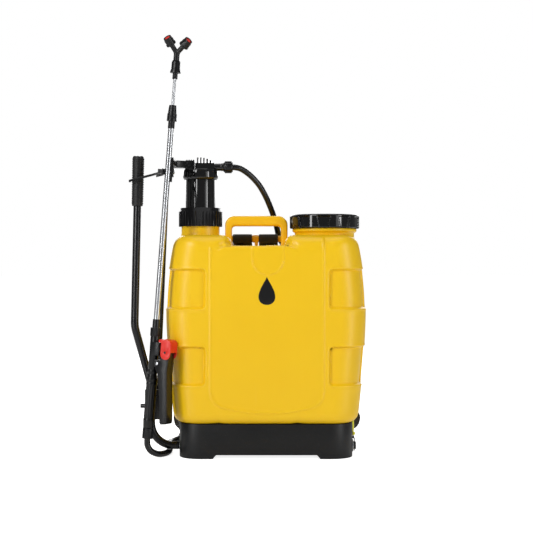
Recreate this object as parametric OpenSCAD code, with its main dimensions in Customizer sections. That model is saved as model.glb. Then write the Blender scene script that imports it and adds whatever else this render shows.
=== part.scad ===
// Hand-operated backpack sprayer, stored upright: a moulded tank on a hollow base,
// a piston pump with a sliding air chamber, a side lever, a hose and a telescopic spray wand.
// Millimetres. +Z is up and -Y is the outer face. The origin is on the ground under the tank.

/* [Tank] */
// Width of the tank at its widest
tank_w = 361; // [340:1:380]
// Depth of the tank, front to back
tank_d = 185; // [175:1:195]
// Height of the two shoulders above the ground
tank_top = 400; // [396:1:410]
// Height of the tank's underside
tank_bottom = 62; // [62:1:66]
// Height of the saddle between the shoulders
saddle_z = 380; // [376:1:384]
// Thickness of the moulded wall
wall = 3.5; // [3:0.5:4.5]
// Depth of the grip panels in the tank's sides
panel_depth = 4; // [2:0.5:5]

/* [Base] */
// Width of the base
base_w = 313; // [305:1:320]
// Depth of the base
base_d = 165; // [160:1:170]
// Height of the arch between the feet
arch_h = 7; // [5:0.5:9]

/* [Pump] */
// Distance of the pump from the middle, to the left
pump_off = 121; // [119:1:123]
// Outer radius of the air chamber
chamber_r = 27.3; // [26:0.1:27.5]
// Height of the chamber cap's lower edge at the top of the stroke
cap_z = 503.5; // [500:0.5:508]
// Outer radius of the ribbed collar
collar_r = 40; // [39:0.5:42]

/* [Filler] */
// Distance of the filler from the middle, to the right
filler_off = 108; // [106:1:110]
// Outer radius of the filler lid
lid_r = 64; // [62:0.5:66]

/* [Lever] */
// Outer radius of the lever's steel tube
lever_r = 7; // [6.5:0.1:7.5]
// Depth at which the lever's shaft crosses the base
shaft_y = -35; // [-38:1:-34]
// Height of the lever's shaft
shaft_z = 18; // [17:0.5:20]
// Radius of the crank, from the shaft to its pin
crank_r = 85; // [80:1:88]
// Angle of the crank above the horizontal, with the lever upright
crank_angle = 50; // [46:1:52]

/* [Wand] */
// Lean of the wand to the right, in degrees
wand_lean = 4.37; // [4.2:0.01:4.6]
// Outer radius of the lance's outer tube
lance_r = 5; // [4.8:0.1:5]
// Radius of the lance's sliding inner tube
inner_r = 2.7; // [2.5:0.1:3.2]
// Outer radius of the handle tube
grip_r = 10; // [9:0.5:10]

/* [Hidden] */
$fn = 48;
clear = 0.05;                 // running clearance
gap = 0.3;                    // loose clearance
side_z = 258;                 // height at which the tank is widest
deck_z = tank_bottom;         // top of the base
pump_x = -pump_off;
filler_x = filler_off;
neck_r = 35;
neck_top = 440;
filler_neck_r = 58;
filler_top = 430;
barrel_r = 31;
barrel_bore = 28;
barrel_bottom = 95;
chamber_len = 338;
piston_z = cap_z - chamber_len;
collar_z = 416.5;
collar_top = 450.5;
lid_z = 413;
lid_top = 438;
lever_top = [-232.2, 540];    // X and Z of the corners of the lever's tube
lever_bends = [[-239, 234], [-208.5, 125], [-208.5, shaft_z]];
lever_bend_r = [60, 60, 40];
lever_plate = 1.5;            // wall of the lever's tube
pin_y = shaft_y + crank_r * cos(crank_angle);
pin_z = shaft_z + crank_r * sin(crank_angle);
pin_r = 4;
link_top = [-181, -8, 518];
link_low_x = -202;
eye_shift = [1.53, 1.14];     // centres the loose eye on the pin's path
eye_r = pin_r + 2.2;
wand_at = [-210.1, -84, 47.5];
wand_turn = 24;               // turn of the handle and trigger about the wand, towards the front
bar_y = 45;                   // the strap bar
bar_z = 395.3;
bar_r = 6;
strap_w = 36;
tail_w = 24.5;
strap_t = 1.8;
left_strap_x = -44.5;
right_strap_x = 4.5;
hose_r = 5.5;
fork_t = 676.5;               // where the nozzle's arms part, along the wand
fork_angles = [30.25, 36.8];  // lean of the left and the right arm
fork_forward = 38;            // lean of both arms to the front
fork_arm = 19.8;
stem_t = 150;
pivot_t = 125;
pivot_u = 13.5;
lock_t = 146;
lock_u = 28.5;

function arc(cx, cy, r, a0, a1, n = 6) =
    [for (i = [0:n]) let (a = a0 + (a1 - a0) * i / n) [cx + r * cos(a), cy + r * sin(a)]];
function flipped(list) = [for (i = [len(list) - 1:-1:0]) list[i]];
function mirrored(list) = [for (p = flipped(list)) [-p[0], p[1]]];

// Half-width of the tank at a height, drawn in by e.
function half_w(z, e) = tank_w / 2 - e
    - (z > side_z ? pow(z - side_z, 2) / 1200 : pow(side_z - z, 2) / 2700);

function right_side(e) = [for (z = [tank_bottom + 18, 130, 180, 220, side_z, 300, 340, tank_top - 24])
    [half_w(z, e), z]];

module front_outline(e) {
    foot_r = 18;
    top_r = 24;
    low_x = half_w(tank_bottom + foot_r, e);
    high_x = half_w(tank_top - top_r, e);
    right = concat(arc(low_x - foot_r + e, tank_bottom + foot_r, foot_r - e, -90, -15, 5),
        right_side(e),
        arc(high_x - top_r + e, tank_top - top_r, top_r - e, 15, 90, 5));
    polygon(concat(right,
        [[filler_x - filler_neck_r + 3 + e, tank_top - e], [filler_x - filler_neck_r - 7 + e, saddle_z - e],
         [pump_x + neck_r + 8 - e, saddle_z - e], [pump_x + neck_r + 1 - e, tank_top - e]],
        mirrored(right)));
}

module rounded_rect(w, d, r, n = 6) {
    x = w / 2 - r;
    y = d / 2 - r;
    polygon(concat(arc(x, y, r, 0, 90, n), arc(-x, y, r, 90, 180, n),
        arc(-x, -y, r, 180, 270, n), arc(x, -y, r, 270, 360, n)));
}

module side_outline(e) {
    foot_r = 16;
    top_r = 24;
    d = tank_d / 2 - e;
    right = concat(arc(d - foot_r + e, tank_bottom + foot_r, foot_r - e, -90, 0, 4),
        arc(d - top_r + e, tank_top - top_r, top_r - e, 0, 90, 5));
    polygon(concat(right, mirrored(right)));
}

// The tank's body as a solid, drawn in all round by e.
module tank_solid(e) {
    intersection() {
        rotate([90, 0, 0]) linear_extrude(tank_d + 20, center = true) front_outline(e);
        translate([0, 0, tank_bottom + e]) linear_extrude(tank_top - tank_bottom - 2 * e)
            rounded_rect(tank_w - 2 * e, tank_d - 2 * e, 48 - e);
        rotate([90, 0, 90]) linear_extrude(tank_w + 20, center = true) side_outline(e);
    }
}

// The four grip panels wrap round the tank's corners. grow widens them on every side.
module panel_zone(grow) {
    for (side = [-1, 1], z = [[132, 200], [268, 338]])
        translate([side * (112 - grow + 150), 0, (z[0] + z[1]) / 2])
            cube([300, tank_d + 40, z[1] - z[0] + 2 * grow], center = true);
}

module panelled_tank(e) {
    difference() {
        tank_solid(e);
        difference() {
            panel_zone(e);
            tank_solid(e + panel_depth);
        }
    }
}

module at_pump() { translate([pump_x, 0, 0]) children(); }
module at_filler() { translate([filler_x, 0, 0]) children(); }
module at_wand(t = 0, turn = wand_turn) {
    translate(wand_at) rotate([0, wand_lean, 0]) translate([0, 0, t]) rotate(-turn) children();
}

module ring(r_out, r_in, h) {
    difference() {
        cylinder(r = r_out, h = h);
        translate([0, 0, -1]) cylinder(r = r_in, h = h + 2);
    }
}

// A ribbed nut: a ring with grip ribs round it.
module ribbed_ring(r_out, r_in, h, ribs, rib = 1.6) {
    difference() {
        union() {
            cylinder(r = r_out - rib / 2, h = h);
            for (i = [0:ribs - 1]) rotate(360 * i / ribs)
                translate([r_out - rib, -rib / 2, 0]) cube([rib, rib, h]);
        }
        translate([0, 0, -1]) cylinder(r = r_in, h = h + 2);
    }
}

module tank_shell() {
    color("gold") difference() {
        union() {
            panelled_tank(0);
            at_pump() translate([0, 0, tank_top - 6]) cylinder(r = neck_r, h = neck_top - tank_top + 6);
            at_filler() translate([0, 0, tank_top - 6])
                cylinder(r = filler_neck_r - 3, h = filler_top - tank_top + 6);
            at_filler() translate([0, 0, 407]) cylinder(r = filler_neck_r + 1.5, h = 4);
        }
        panelled_tank(wall);
        at_pump() translate([0, 0, tank_top - 20]) cylinder(r = barrel_r + clear, h = 80);
        at_filler() translate([0, 0, tank_top - 20]) cylinder(r = 50, h = 80);
    }
}

module base_plan(e) { rounded_rect(base_w - 2 * e, base_d - 2 * e, 40 - e); }

module base_skirt() {
    arch_left = -90;
    arch_right = 92;
    deck = 3;
    boss_r = 14;
    color("dimgray") difference() {
        union() {
            difference() {
                linear_extrude(deck_z) base_plan(0);
                translate([0, 0, 3]) linear_extrude(deck_z - 3 - deck) base_plan(3.5);
                rotate([90, 0, 0]) linear_extrude(2 * base_d, center = true)
                    polygon([[arch_left - 6, -1], [arch_left - 5, 0], [arch_left + 1, arch_h],
                        [arch_right - 1, arch_h], [arch_right + 5, 0], [arch_right + 6, -1]]);
            }
            for (side = [-1, 1]) translate([side * (base_w / 2 - 12), shaft_y, shaft_z])
                rotate([0, 90, 0]) cylinder(r = boss_r, h = 20, center = true);
            translate([arch_left - 8, -15, 0]) cube([arch_right - arch_left + 16, 30, 4]);
        }
        translate([0, shaft_y, shaft_z]) rotate([0, 90, 0]) cylinder(r = 10, h = base_w + 20, center = true);
        for (side = [-1, 1]) translate([side * (base_w / 2 - 12), shaft_y, -10])
            cube([40, 3 * boss_r, 20], center = true);
        for (x = [-110, 110], y = [-50, 50]) translate([x, y, deck_z - 8]) cylinder(r = 2.6, h = 20);
    }
}

module base_screws() {
    color("silver") for (x = [-110, 110], y = [-50, 50]) translate([x, y, deck_z - 3]) {
        translate([0, 0, -2.5]) cylinder(r = 4.5, h = 2.5);
        cylinder(r = 2.5, h = 3);
    }
}

module shaft_bushes() {
    color("white") for (side = [-1, 1])
        translate([side * (base_w / 2 - 9), shaft_y, shaft_z]) rotate([0, 90, 0]) {
            difference() {
                cylinder(r = 10, h = 18, center = true);
                cylinder(r = lever_r + clear, h = 30, center = true);
            }
        }
}

module side_peg() {
    color("yellow") translate([base_w / 2, -20, 0]) {
        translate([2.4, 0, 42]) cylinder(r = 2.2, h = deck_z - 42);
        translate([3.6, 0, 37.5]) sphere(r = 3.4);
        translate([0, -2.2, 48]) cube([2.4, 4.4, 8]);
        translate([2.4, 0, 37]) cylinder(r = 1.4, h = 8);
    }
}

module carry_handle() {
    left = -75.4;
    right = 39.8;
    leg = 12.5;
    bar = 19;
    top = 436.3;
    outer_r = 17;
    inner_r2 = 6;
    outline = concat([[right, saddle_z]], arc(right - outer_r, top - outer_r, outer_r, 0, 90, 8),
        arc(left + outer_r, top - outer_r, outer_r, 90, 180, 8), [[left, saddle_z], [left + leg, saddle_z]],
        flipped(arc(left + leg + inner_r2, top - bar - inner_r2, inner_r2, 90, 180, 4)),
        flipped(arc(right - leg - inner_r2, top - bar - inner_r2, inner_r2, 0, 90, 4)),
        [[right - leg, saddle_z]]);
    color("orange") rotate([90, 0, 0]) linear_extrude(26, center = true) polygon(outline);
}

module strap_bracket() {
    color("orange") difference() {
        union() {
            translate([-74, bar_y - 9, saddle_z]) cube([112, 18, 2]);
            for (x = [-72.5, -21.5, 30]) translate([x, bar_y - 6, saddle_z]) cube([6.5, 12, bar_z - saddle_z]);
            translate([-72.5, bar_y, bar_z]) rotate([0, 90, 0]) cylinder(r = bar_r, h = 109);
            translate([-25.3, bar_y, bar_z]) rotate([0, 90, 0]) cylinder(r = bar_r + 1.2, h = 11);
        }
        for (x = [-60, 18]) translate([x, bar_y, saddle_z - 1]) cylinder(r = 1.8, h = 5);
    }
}

module bracket_screws() {
    color("silver") for (x = [-60, 18]) translate([x, bar_y, saddle_z]) {
        cylinder(r = 1.75, h = 2);
        translate([0, 0, 2]) cylinder(r = 3.4, h = 1.6);
    }
}

module hose_clips() {
    back = tank_d / 2;
    color("dimgray") {
        translate([40, back, 244]) difference() {
            translate([-10, 0, 0]) cube([20, 15.5, 12]);
            translate([0, 7.7, -1]) cylinder(r = hose_r + gap, h = 14);
        }
        translate([-60, base_d / 2, 38]) rotate([0, -90, 0]) difference() {
            translate([-9, 0, 0]) cube([18, 16, 12]);
            translate([0, 8, -1]) cylinder(r = hose_r + gap, h = 14);
        }
    }
}

// A closed ribbon or tube: rings of points joined along a route.
module skin(rings) {
    n = len(rings[0]);
    m = len(rings);
    points = [for (r = rings, p = r) p];
    sides = [for (j = [0:m - 2], i = [0:n - 1], k = [0, 1])
        let (a = j * n + i, b = j * n + (i + 1) % n)
        k == 0 ? [a, a + n, b] : [b, a + n, b + n]];
    polyhedron(points, concat(sides, [[for (i = [0:n - 1]) i]], [[for (i = [n - 1:-1:0]) (m - 1) * n + i]]));
}

function unit(v) = v / norm(v);
function heading(route, j) = unit(route[min(j + 1, len(route) - 1)] - route[max(j - 1, 0)]);

// Points on a Catmull-Rom curve through the route, with n steps to each stretch.
function between(p0, p1, p2, p3, t) = 0.5 * (2 * p1 + (p2 - p0) * t
    + (2 * p0 - 5 * p1 + 4 * p2 - p3) * t * t + (3 * p1 - p0 - 3 * p2 + p3) * t * t * t);
function smooth(route, n) = concat(
    [for (j = [0:len(route) - 2], k = [0:n - 1])
        between(route[max(j - 1, 0)], route[j], route[j + 1], route[min(j + 2, len(route) - 1)], k / n)],
    [route[len(route) - 1]]);

function ribbon_ring(p, along, across, w, t) =
    let (side = unit(across - (across * along) * along), face = cross(along, side))
    [p + side * w / 2 + face * t / 2, p - side * w / 2 + face * t / 2,
     p - side * w / 2 - face * t / 2, p + side * w / 2 - face * t / 2];

// A strap: [share of the way from its bar to its anchor, depth, height, turn of its width in degrees].
strap_run = concat([for (p = arc(bar_y, bar_z, bar_r + 1.8, 255, 5, 9)) [0, p[0], p[1], 0]],
    [[0, 55, 391.5, 0], [0, 60, 387.8, 0], [0, 70, 385.5, 0], [0, 84, 383.6, 0], [0, 92, 382.4, 0],
    [0, 97.5, 377, 0], [0.01, 101, 368, 0], [0.02, 106, 353, 0], [0.05, 112, 330, 0],
    [0.12, 118, 290, 2], [0.22, 121, 250, 4], [0.32, 122, 214, 7], [0.35, 122, 204, 8],
    [0.38, 122, 194, 9], [0.5, 121, 160, 14], [0.68, 117, 115, 24], [0.88, 109, 84, 36],
    [1.02, 100, 67, 48], [1.08, 89, 53, 60], [1.065, 77, 41, 72], [1.015, 66, 32, 82],
    [0.998, 62.4, 25, 89], [0.998, 62, 17.6, 90]]);
strap_change = 22;            // the point from which the strap is narrow, inside its adjuster

function strap_point(x0, side, s) = [x0 + (side * 160 - x0) * s[0], s[1], s[2]];

module strap(x0, side) {
    route = [for (s = strap_run) strap_point(x0, side, s)];
    rings = [for (j = [0:len(route) - 1])
        ribbon_ring(route[j], heading(route, j),
            [cos(strap_run[j][3]), -side * sin(strap_run[j][3]), 0],
            j < strap_change ? strap_w : tail_w, strap_t)];
    color("black") skin(rings);
}

module left_strap() { strap(left_strap_x, -1); }
module right_strap() { strap(right_strap_x, 1); }

module strap_adjusters() {
    color("black") for (s = [[left_strap_x, -1], [right_strap_x, 1]]) {
        p = strap_point(s[0], s[1], strap_run[strap_change]);
        translate([p[0], p[1] + 1.4, p[2]]) rotate([-2, s[1] * 18, 0])
            translate([-23, 0, -14]) cube([46, 4, 28]);
    }
}

// A loop of flat bar stands out from each rear corner of the base for the strap's end.
module strap_hooks() {
    color("black") for (side = [-1, 1]) difference() {
        translate([side * (base_w / 2 - 2), 62, 21]) cube([24, 34, 5], center = true);
        translate([side * (base_w / 2 + 3.2), 62, 21]) cube([5, 26, 10], center = true);
        linear_extrude(deck_z) base_plan(0);
    }
}

module pump_barrel() {
    color("dimgray") at_pump() difference() {
        union() {
            translate([0, 0, barrel_bottom]) cylinder(r = barrel_r, h = neck_top - barrel_bottom + 2);
            translate([0, 0, neck_top + 2]) cylinder(r = neck_r, h = 4);
        }
        translate([0, 0, barrel_bottom + 6]) cylinder(r = barrel_bore, h = 400);
        translate([0, 0, barrel_bottom - 1]) cylinder(r = 12, h = 20);
    }
}

module barrel_gasket() {
    color("black") at_pump() translate([0, 0, neck_top]) ring(neck_r, barrel_r + clear, 2);
}

// A ball valve: the ball sits on the edge of the inlet and two crossed bars keep it in.
module ball_cage(r, z) {
    for (a = [0, 90]) rotate(a) translate([-r, -1, z]) cube([2 * r, 2, 2]);
}

module foot_valve() {
    color("white") at_pump() translate([0, 0, barrel_bottom - 12]) {
        difference() {
            union() {
                cylinder(r = 16, h = 12);
                translate([0, 0, 12]) cylinder(r = 12, h = 10);
            }
            translate([0, 0, 3]) cylinder(r = 8, h = 30);
            translate([0, 0, -1]) cylinder(r = 4, h = 6);
            for (a = [0:45:315]) rotate(a) translate([11, -1, 3]) cube([8, 2, 6]);
        }
        ball_cage(9, 17);
    }
}

module foot_ball() { color("silver") at_pump() translate([0, 0, barrel_bottom - 5.3]) sphere(r = 5.4); }

module filler_strainer() {
    basket_r = 46;
    depth = 60;
    color("white") at_filler() difference() {
        union() {
            translate([0, 0, filler_top]) cylinder(r = 54, h = 2);
            translate([0, 0, filler_top - depth]) cylinder(r = basket_r, h = depth);
        }
        translate([0, 0, filler_top - depth + 2]) cylinder(r = basket_r - 2, h = depth + 5);
        for (a = [0:30:150], z = [1, 2, 3]) rotate(a) translate([0, 0, filler_top - depth + 14 * z - 4])
            cube([8, 2 * basket_r + 10, 9], center = true);
    }
}

module collar_nut() {
    color("dimgray") at_pump() difference() {
        union() {
            translate([0, 0, collar_z]) ribbed_ring(collar_r, neck_r + gap, collar_top - collar_z - 6.5, 36);
            translate([0, 0, collar_top - 6.5]) ring(37.4, chamber_r + 1, 6.5);
        }
        translate([0, 0, collar_z - 1]) cylinder(r = neck_r + gap, h = neck_top + 6 - collar_z + 1 + clear);
    }
}

module air_chamber() {
    color("dimgray") at_pump() difference() {
        translate([0, 0, piston_z + 14]) cylinder(r = chamber_r, h = chamber_len - 14 + 6);
        translate([0, 0, piston_z + 18]) cylinder(r = chamber_r - 3, h = chamber_len);
        translate([0, 0, piston_z]) cylinder(r = 8, h = 30);
    }
}

module chamber_cap() {
    fins = [[-4.5, 543.6], [1.1, 543.6], [6.8, 542.8], [12.9, 541.2], [18.9, 538.4]];
    outlet_z = 526.5;
    color("dimgray") at_pump() difference() {
        union() {
            translate([0, 0, cap_z]) cylinder(r1 = 30, r2 = 32, h = 3);
            translate([0, 0, cap_z + 3]) cylinder(r = 32, h = 12.5);
            translate([0, 0, cap_z + 15.5]) cylinder(r1 = 32, r2 = 30.5, h = 2.7);
            translate([-9.4, -13, cap_z + 18]) cube([35.4, 26, 12]);
            for (f = fins) translate([f[0] - 1.8, -11, 532]) cube([3.6, 22, f[1] - 532]);
            translate([24, 0, outlet_z]) rotate([0, 90, 0]) cylinder(r = 6.8, h = 16);
            translate([38, 0, outlet_z]) rotate([0, 90, 0]) cylinder(r = 7.2, h = 4.6);
            translate([42, 0, outlet_z]) rotate([0, 90, 0]) cylinder(r = 4, h = 13);
            for (side = [-1, 1]) translate([-26, side * 12.6 - 1.4, cap_z + 17.5]) cube([11, 2.8, 17]);
        }
        translate([0, 0, cap_z - 1]) cylinder(r = chamber_r + clear, h = 7);
        translate([0, 0, cap_z + 6]) cylinder(r = 24, h = 9);
        translate([10, 0, cap_z + 6]) cylinder(r = 3, h = outlet_z - cap_z - 6);
        translate([10, 0, outlet_z]) rotate([0, 90, 0]) cylinder(r = 2.6, h = 60);
        translate([-28, -11.1, cap_z + 18.1]) cube([17.5, 22.2, 30]);
        translate([-20.5, 0, 531]) rotate([90, 0, 0]) cylinder(r = 3, h = 40, center = true);
    }
}

module chamber_bolt() {
    color("silver") at_pump() translate([-20.5, 0, 531]) rotate([90, 0, 0]) {
        cylinder(r = 3, h = 28, center = true);
        translate([0, 0, 14]) cylinder(r = 5, h = 3, $fn = 6);
    }
}

// The arm that carries the link's pin and, at its forward end, the open clip for the lance
// and the hook that keeps the lever upright. The clip is wider than the lance on its left,
// because it slides straight down past a leaning tube.
module drive_arm() {
    clip_t = 448;
    clip_back = 5.5;
    strip = 1.6;
    arm_z = 525;
    arm_h = 12.6;
    front = wand_at[1] + clip_back + 1.5;
    plan = [[-146, 9.5], [-177, 4], [-180, -10], [-176.5, front], [-165, front], [-163, -18], [-146, -9.5]];
    hook = [[-182, -58], [-206, -54], [-245, -52.3], [-248, -50], [-247.2, -39], [-245.4, -39],
        [-244.6, -48.4], [-206, -50], [-182, -53]];
    boss = [[-198, -56.5], [-185, -59], [-185, -51], [-198, -51]];
    slope = [[1, 0, 0, 0], [0, 1, 0, 0], [0.257, 0, 1, 0], [0, 0, 0, 1]];
    color("dimgray") difference() {
        union() {
            translate([0, 0, arm_z]) linear_extrude(arm_h) polygon(plan);
            translate([-149, -11, 521.8]) cube([17.5, 22, 16.2]);
            for (i = [0:3]) translate([-146.5 + 4 * i, -10, 537]) cube([2, 20, 2.6]);
            translate([-176, link_top[1] - 8, 508]) cube([5.5, 16, 20]);
            at_wand(clip_t, 0) translate([-4, clip_back, 0]) cube([12, 3.2, 42]);
            at_wand(clip_t, 0) translate([-10.2, clip_back, 12.5]) cube([9, 3.1, 10]);
            at_wand(clip_t, 0) translate([-10.2, -3, 12.5]) cube([strip - 0.2, 10, 10]);
            at_wand(clip_t, 0) translate([5.3, -3, 13.5]) cube([strip, 10, 27]);
            at_wand(clip_t, 0) translate([-18, 2, 13.5]) cube([9, 30, 8]);
            translate([0, 0, 559.2]) multmatrix(slope) linear_extrude(4) polygon(hook);
            translate([0, 0, 555]) multmatrix(slope) linear_extrude(8) polygon(boss);
        }
        translate([-181, link_top[1], link_top[2]]) rotate([0, 90, 0]) cylinder(r = 3, h = 40, center = true);
        at_pump() translate([-20.5, 0, 531]) rotate([90, 0, 0]) cylinder(r = 3, h = 40, center = true);
    }
}

module piston_head() {
    color("white") at_pump() difference() {
        union() {
            translate([0, 0, piston_z]) cylinder(r = 24, h = 14);
            translate([0, 0, piston_z + 10]) cylinder(r = 27, h = 4);
            translate([0, 0, piston_z + 14]) cylinder(r = 8, h = 6);
        }
        translate([0, 0, piston_z - 1]) cylinder(r = 4, h = 12);
        translate([0, 0, piston_z + 6]) cylinder(r = 6.5, h = 20);
    }
    color("white") at_pump() ball_cage(7.3, piston_z + 18);
}

module piston_seal() {
    color("black") at_pump() translate([0, 0, piston_z + 3]) ring(barrel_bore - clear, 24, 5);
}

module outlet_ball() { color("silver") at_pump() translate([0, 0, piston_z + 9.1]) sphere(r = 5); }

module outlet_nut() {
    color("dimgray") at_pump() translate([42.6, 0, 526.5]) rotate([0, 90, 0]) difference() {
        union() {
            cylinder(r1 = 8.6, r2 = 10, h = 3);
            translate([0, 0, 3]) cylinder(r = 10, h = 11.5);
            translate([0, 0, 14.5]) cylinder(r1 = 10, r2 = 8.6, h = 2.5);
            for (a = [0:30:330]) rotate(a) translate([9, -1.3, 2.4]) cube([2, 2.6, 12.4]);
        }
        translate([0, 0, -1]) cylinder(r = hose_r + gap, h = 30);
    }
}

// The link leans in both directions between the arm's pin and the crank's pin.
module link_rod() {
    low = [link_low_x, pin_y + eye_shift[0], pin_z + eye_shift[1]];
    span = low - link_top;
    len = norm(span);
    turn = atan2(span[1], -span[2]);
    tilt = asin(-span[0] / len);
    shank_in = 16;
    color("black") difference() {
        union() {
            translate(link_top) rotate([turn, 0, 0]) rotate([0, tilt, 0])
                translate([0, 0, -len + shank_in]) cylinder(r = 3.4, h = len - shank_in - 6);
            translate(link_top) rotate([0, 90, 0]) cylinder(r = 6.6, h = 7, center = true);
            translate(low) rotate([0, 90, 0]) cylinder(r = 10.5, h = 7, center = true);
            translate(low) rotate([turn, 0, 0]) translate([-3.5, -6, 0]) cube([7, 12, 55]);
        }
        translate(link_top) rotate([0, 90, 0]) cylinder(r = 3 + clear, h = 30, center = true);
        translate(low) rotate([0, 90, 0]) cylinder(r = eye_r, h = 30, center = true);
    }
}

module link_pin() {
    color("silver") translate([-170.5, link_top[1], link_top[2]]) rotate([0, -90, 0]) {
        translate([0, 0, -2]) cylinder(r = 5, h = 2);
        cylinder(r = 3, h = 17);
    }
}

function turn_at(p, i) =
    let (a = unit(p[i] - p[i - 1]), b = unit(p[i + 1] - p[i])) atan2(a[0] * b[1] - a[1] * b[0], a * b);
function bend_reach(p, bends, i) =
    i == 0 || i == len(p) - 1 ? 0 : bends[i - 1] * tan(abs(turn_at(p, i)) / 2);

// A round bar along straight stretches of the XZ plane, with an arc at each corner.
// The arcs are a hair thicker, so that no surface runs on smoothly into another.
module bent_bar(p, bends, r) {
    lap = 1;
    rotate([90, 0, 0]) {
        for (i = [0:len(p) - 2]) {
            along = unit(p[i + 1] - p[i]);
            from = p[i] + along * max(0, bend_reach(p, bends, i) - lap);
            to = p[i + 1] - along * max(0, bend_reach(p, bends, i + 1) - lap);
            translate([from[0], from[1], 0]) rotate([0, 0, atan2(along[1], along[0])])
                rotate([0, 90, 0]) cylinder(r = r, h = norm(to - from));
        }
        for (i = [1:len(p) - 2]) {
            turn = turn_at(p, i);
            along = unit(p[i] - p[i - 1]);
            inward = sign(turn) * [-along[1], along[0]];
            centre = p[i] - along * bend_reach(p, bends, i) + inward * bends[i - 1];
            start = atan2(-inward[1], -inward[0]) + min(0, turn);
            translate([centre[0], centre[1], 0]) rotate(start)
                rotate_extrude(angle = abs(turn)) translate([bends[i - 1], 0]) circle(r = r + 0.1);
        }
    }
}

module lever_pass(r, extra = 0) {
    shaft_start = [base_w / 2 + 6.8 + extra, shaft_z];
    translate([0, shaft_y, 0])
        bent_bar(concat([lever_top + [0, extra]], lever_bends, [shaft_start]), lever_bend_r, r);
}

module lever_tube() {
    color("black") difference() {
        lever_pass(lever_r);
        lever_pass(lever_r - lever_plate, 1);
        translate([base_w / 2 + 4.2, shaft_y, shaft_z]) cylinder(r = 1.2, h = 40, center = true);
    }
}

// Places its children on the lever's axis, measured down from its top.
module down_lever() {
    span = lever_top - lever_bends[0];
    translate([lever_top[0], shaft_y, lever_top[1]]) rotate([0, 180 + atan2(span[0], span[1]), 0]) children();
}

module lever_grip() {
    length = 87;
    cap = 3;
    ribs = 17;
    pitch = 4.9;
    color("dimgray") down_lever() translate([0, 0, -cap]) difference() {
        union() {
            cylinder(r1 = 10.4, r2 = 9.8, h = length + cap);
            for (i = [0:ribs - 1]) translate([0, 0, 3 + pitch * i]) cylinder(r = 11, h = 2.4);
        }
        translate([0, 0, cap]) cylinder(r = lever_r, h = length + 1);
    }
}

module crank_bracket() {
    plate = 3.4;
    left = -219.5;
    right = -191.5;
    web_y = shaft_y - lever_r - 3.2;
    foot_z = 66;
    head_z = 120;
    profile = [[web_y, foot_z], [web_y, head_z], [-24, head_z], [pin_y + 7, pin_z + 9], [pin_y + 10, pin_z],
        [pin_y + 6, pin_z - 8], [pin_y - 4, pin_z - 10], [-28, foot_z]];
    color("black") difference() {
        union() {
            for (x = [left, right - plate]) translate([x, 0, 0]) rotate([90, 0, 90])
                linear_extrude(plate) polygon(profile);
            translate([left, web_y, foot_z]) cube([right - left, 3, head_z - foot_z]);
        }
        translate([-205, pin_y, pin_z]) rotate([0, 90, 0]) cylinder(r = pin_r, h = 60, center = true);
    }
}

module crank_pin() {
    color("black") translate([-234, pin_y, pin_z]) rotate([0, 90, 0]) {
        cylinder(r = pin_r, h = 46);
        translate([0, 0, 43]) cylinder(r = 5.2, h = 2.5);
    }
}

module shaft_washer() {
    color("silver") translate([base_w / 2 + 0.2, shaft_y, shaft_z]) rotate([0, 90, 0])
        ring(11.5, lever_r + clear, 1.6);
}

module cotter_pin() {
    color("silver") translate([base_w / 2 + 4.2, shaft_y, shaft_z]) {
        cylinder(r = 1.1, h = 19, center = true);
        translate([0, 0, 10.6]) rotate([0, 0, 90]) rotate([90, 0, 0]) rotate_extrude()
            translate([2.4, 0]) circle(r = 0.9);
    }
}

module lid_gasket() {
    color("black") at_filler() translate([0, 0, filler_top + 2]) ring(56, 46, 2);
}

module breather_valve() {
    color("dimgray") at_filler() {
        translate([0, 0, lid_top]) cylinder(r = 3.5, h = 1.6);
        translate([0, 0, filler_top + 1]) cylinder(r = 3, h = lid_top - filler_top - 1);
        translate([0, 0, filler_top - 6]) cylinder(r = 5, h = 8);
    }
}

module filler_lid() {
    skirt_in = filler_neck_r + 2.5;
    color("dimgray") at_filler() difference() {
        union() {
            translate([0, 0, lid_z]) cylinder(r = lid_r, h = 20.5);
            translate([0, 0, lid_z + 20.5]) cylinder(r1 = lid_r, r2 = lid_r - 4.5, h = 4.5);
        }
        translate([0, 0, lid_z - 1]) cylinder(r = skirt_in, h = filler_top + 4 - lid_z + 1 + gap);
        translate([0, 0, lid_z]) cylinder(r = 3 + clear, h = 30);
        for (i = [0:11]) rotate(30 * i + 9) translate([lid_r - 1.2, 0, lid_z - 1]) rotate([0, 0, 45])
            cube([5, 5, 30], center = false);
    }
}

module handle_tube() {
    color("dimgray") at_wand() difference() {
        union() {
            translate([0, 0, 9]) cylinder(r1 = 9.2, r2 = grip_r, h = 12);
            translate([0, 0, 21]) cylinder(r = grip_r, h = 78);
            translate([0, 0, 99]) cylinder(r = 8.6, h = 14);
            translate([0, 0, -6]) cylinder(r = 6.8, h = 15);
        }
        translate([0, 0, 16]) cylinder(r = 6.5, h = 84);
        translate([0, 0, -8]) cylinder(r = 4, h = 130);
    }
}

module valve_body() {
    color("dimgray") at_wand() difference() {
        union() {
            translate([0, 0, 113]) cylinder(r = 8.2, h = 59);
            translate([0, -8.5, 139]) cube([14, 17, 23]);
            translate([0, -6, pivot_t - 6]) cube([pivot_u, 12, 12]);
            translate([pivot_u, 0, pivot_t]) rotate([90, 0, 0]) cylinder(r = 6, h = 12, center = true);
            translate([0, 0, 172]) cylinder(r = 6.4, h = 12);
        }
        translate([0, 0, 110]) cylinder(r = 3.5, h = 30);
        translate([0, 0, 160]) cylinder(r = 3.5, h = 30);
        translate([pivot_u, 0, pivot_t]) rotate([90, 0, 0]) cylinder(r = 2.5 + clear, h = 40, center = true);
        translate([-5.5, 0, stem_t]) rotate([0, 90, 0]) cylinder(r = 5.5, h = 16);
        translate([0, 0, stem_t]) rotate([0, 90, 0]) cylinder(r = 2.5 + clear, h = 30);
    }
}

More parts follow.
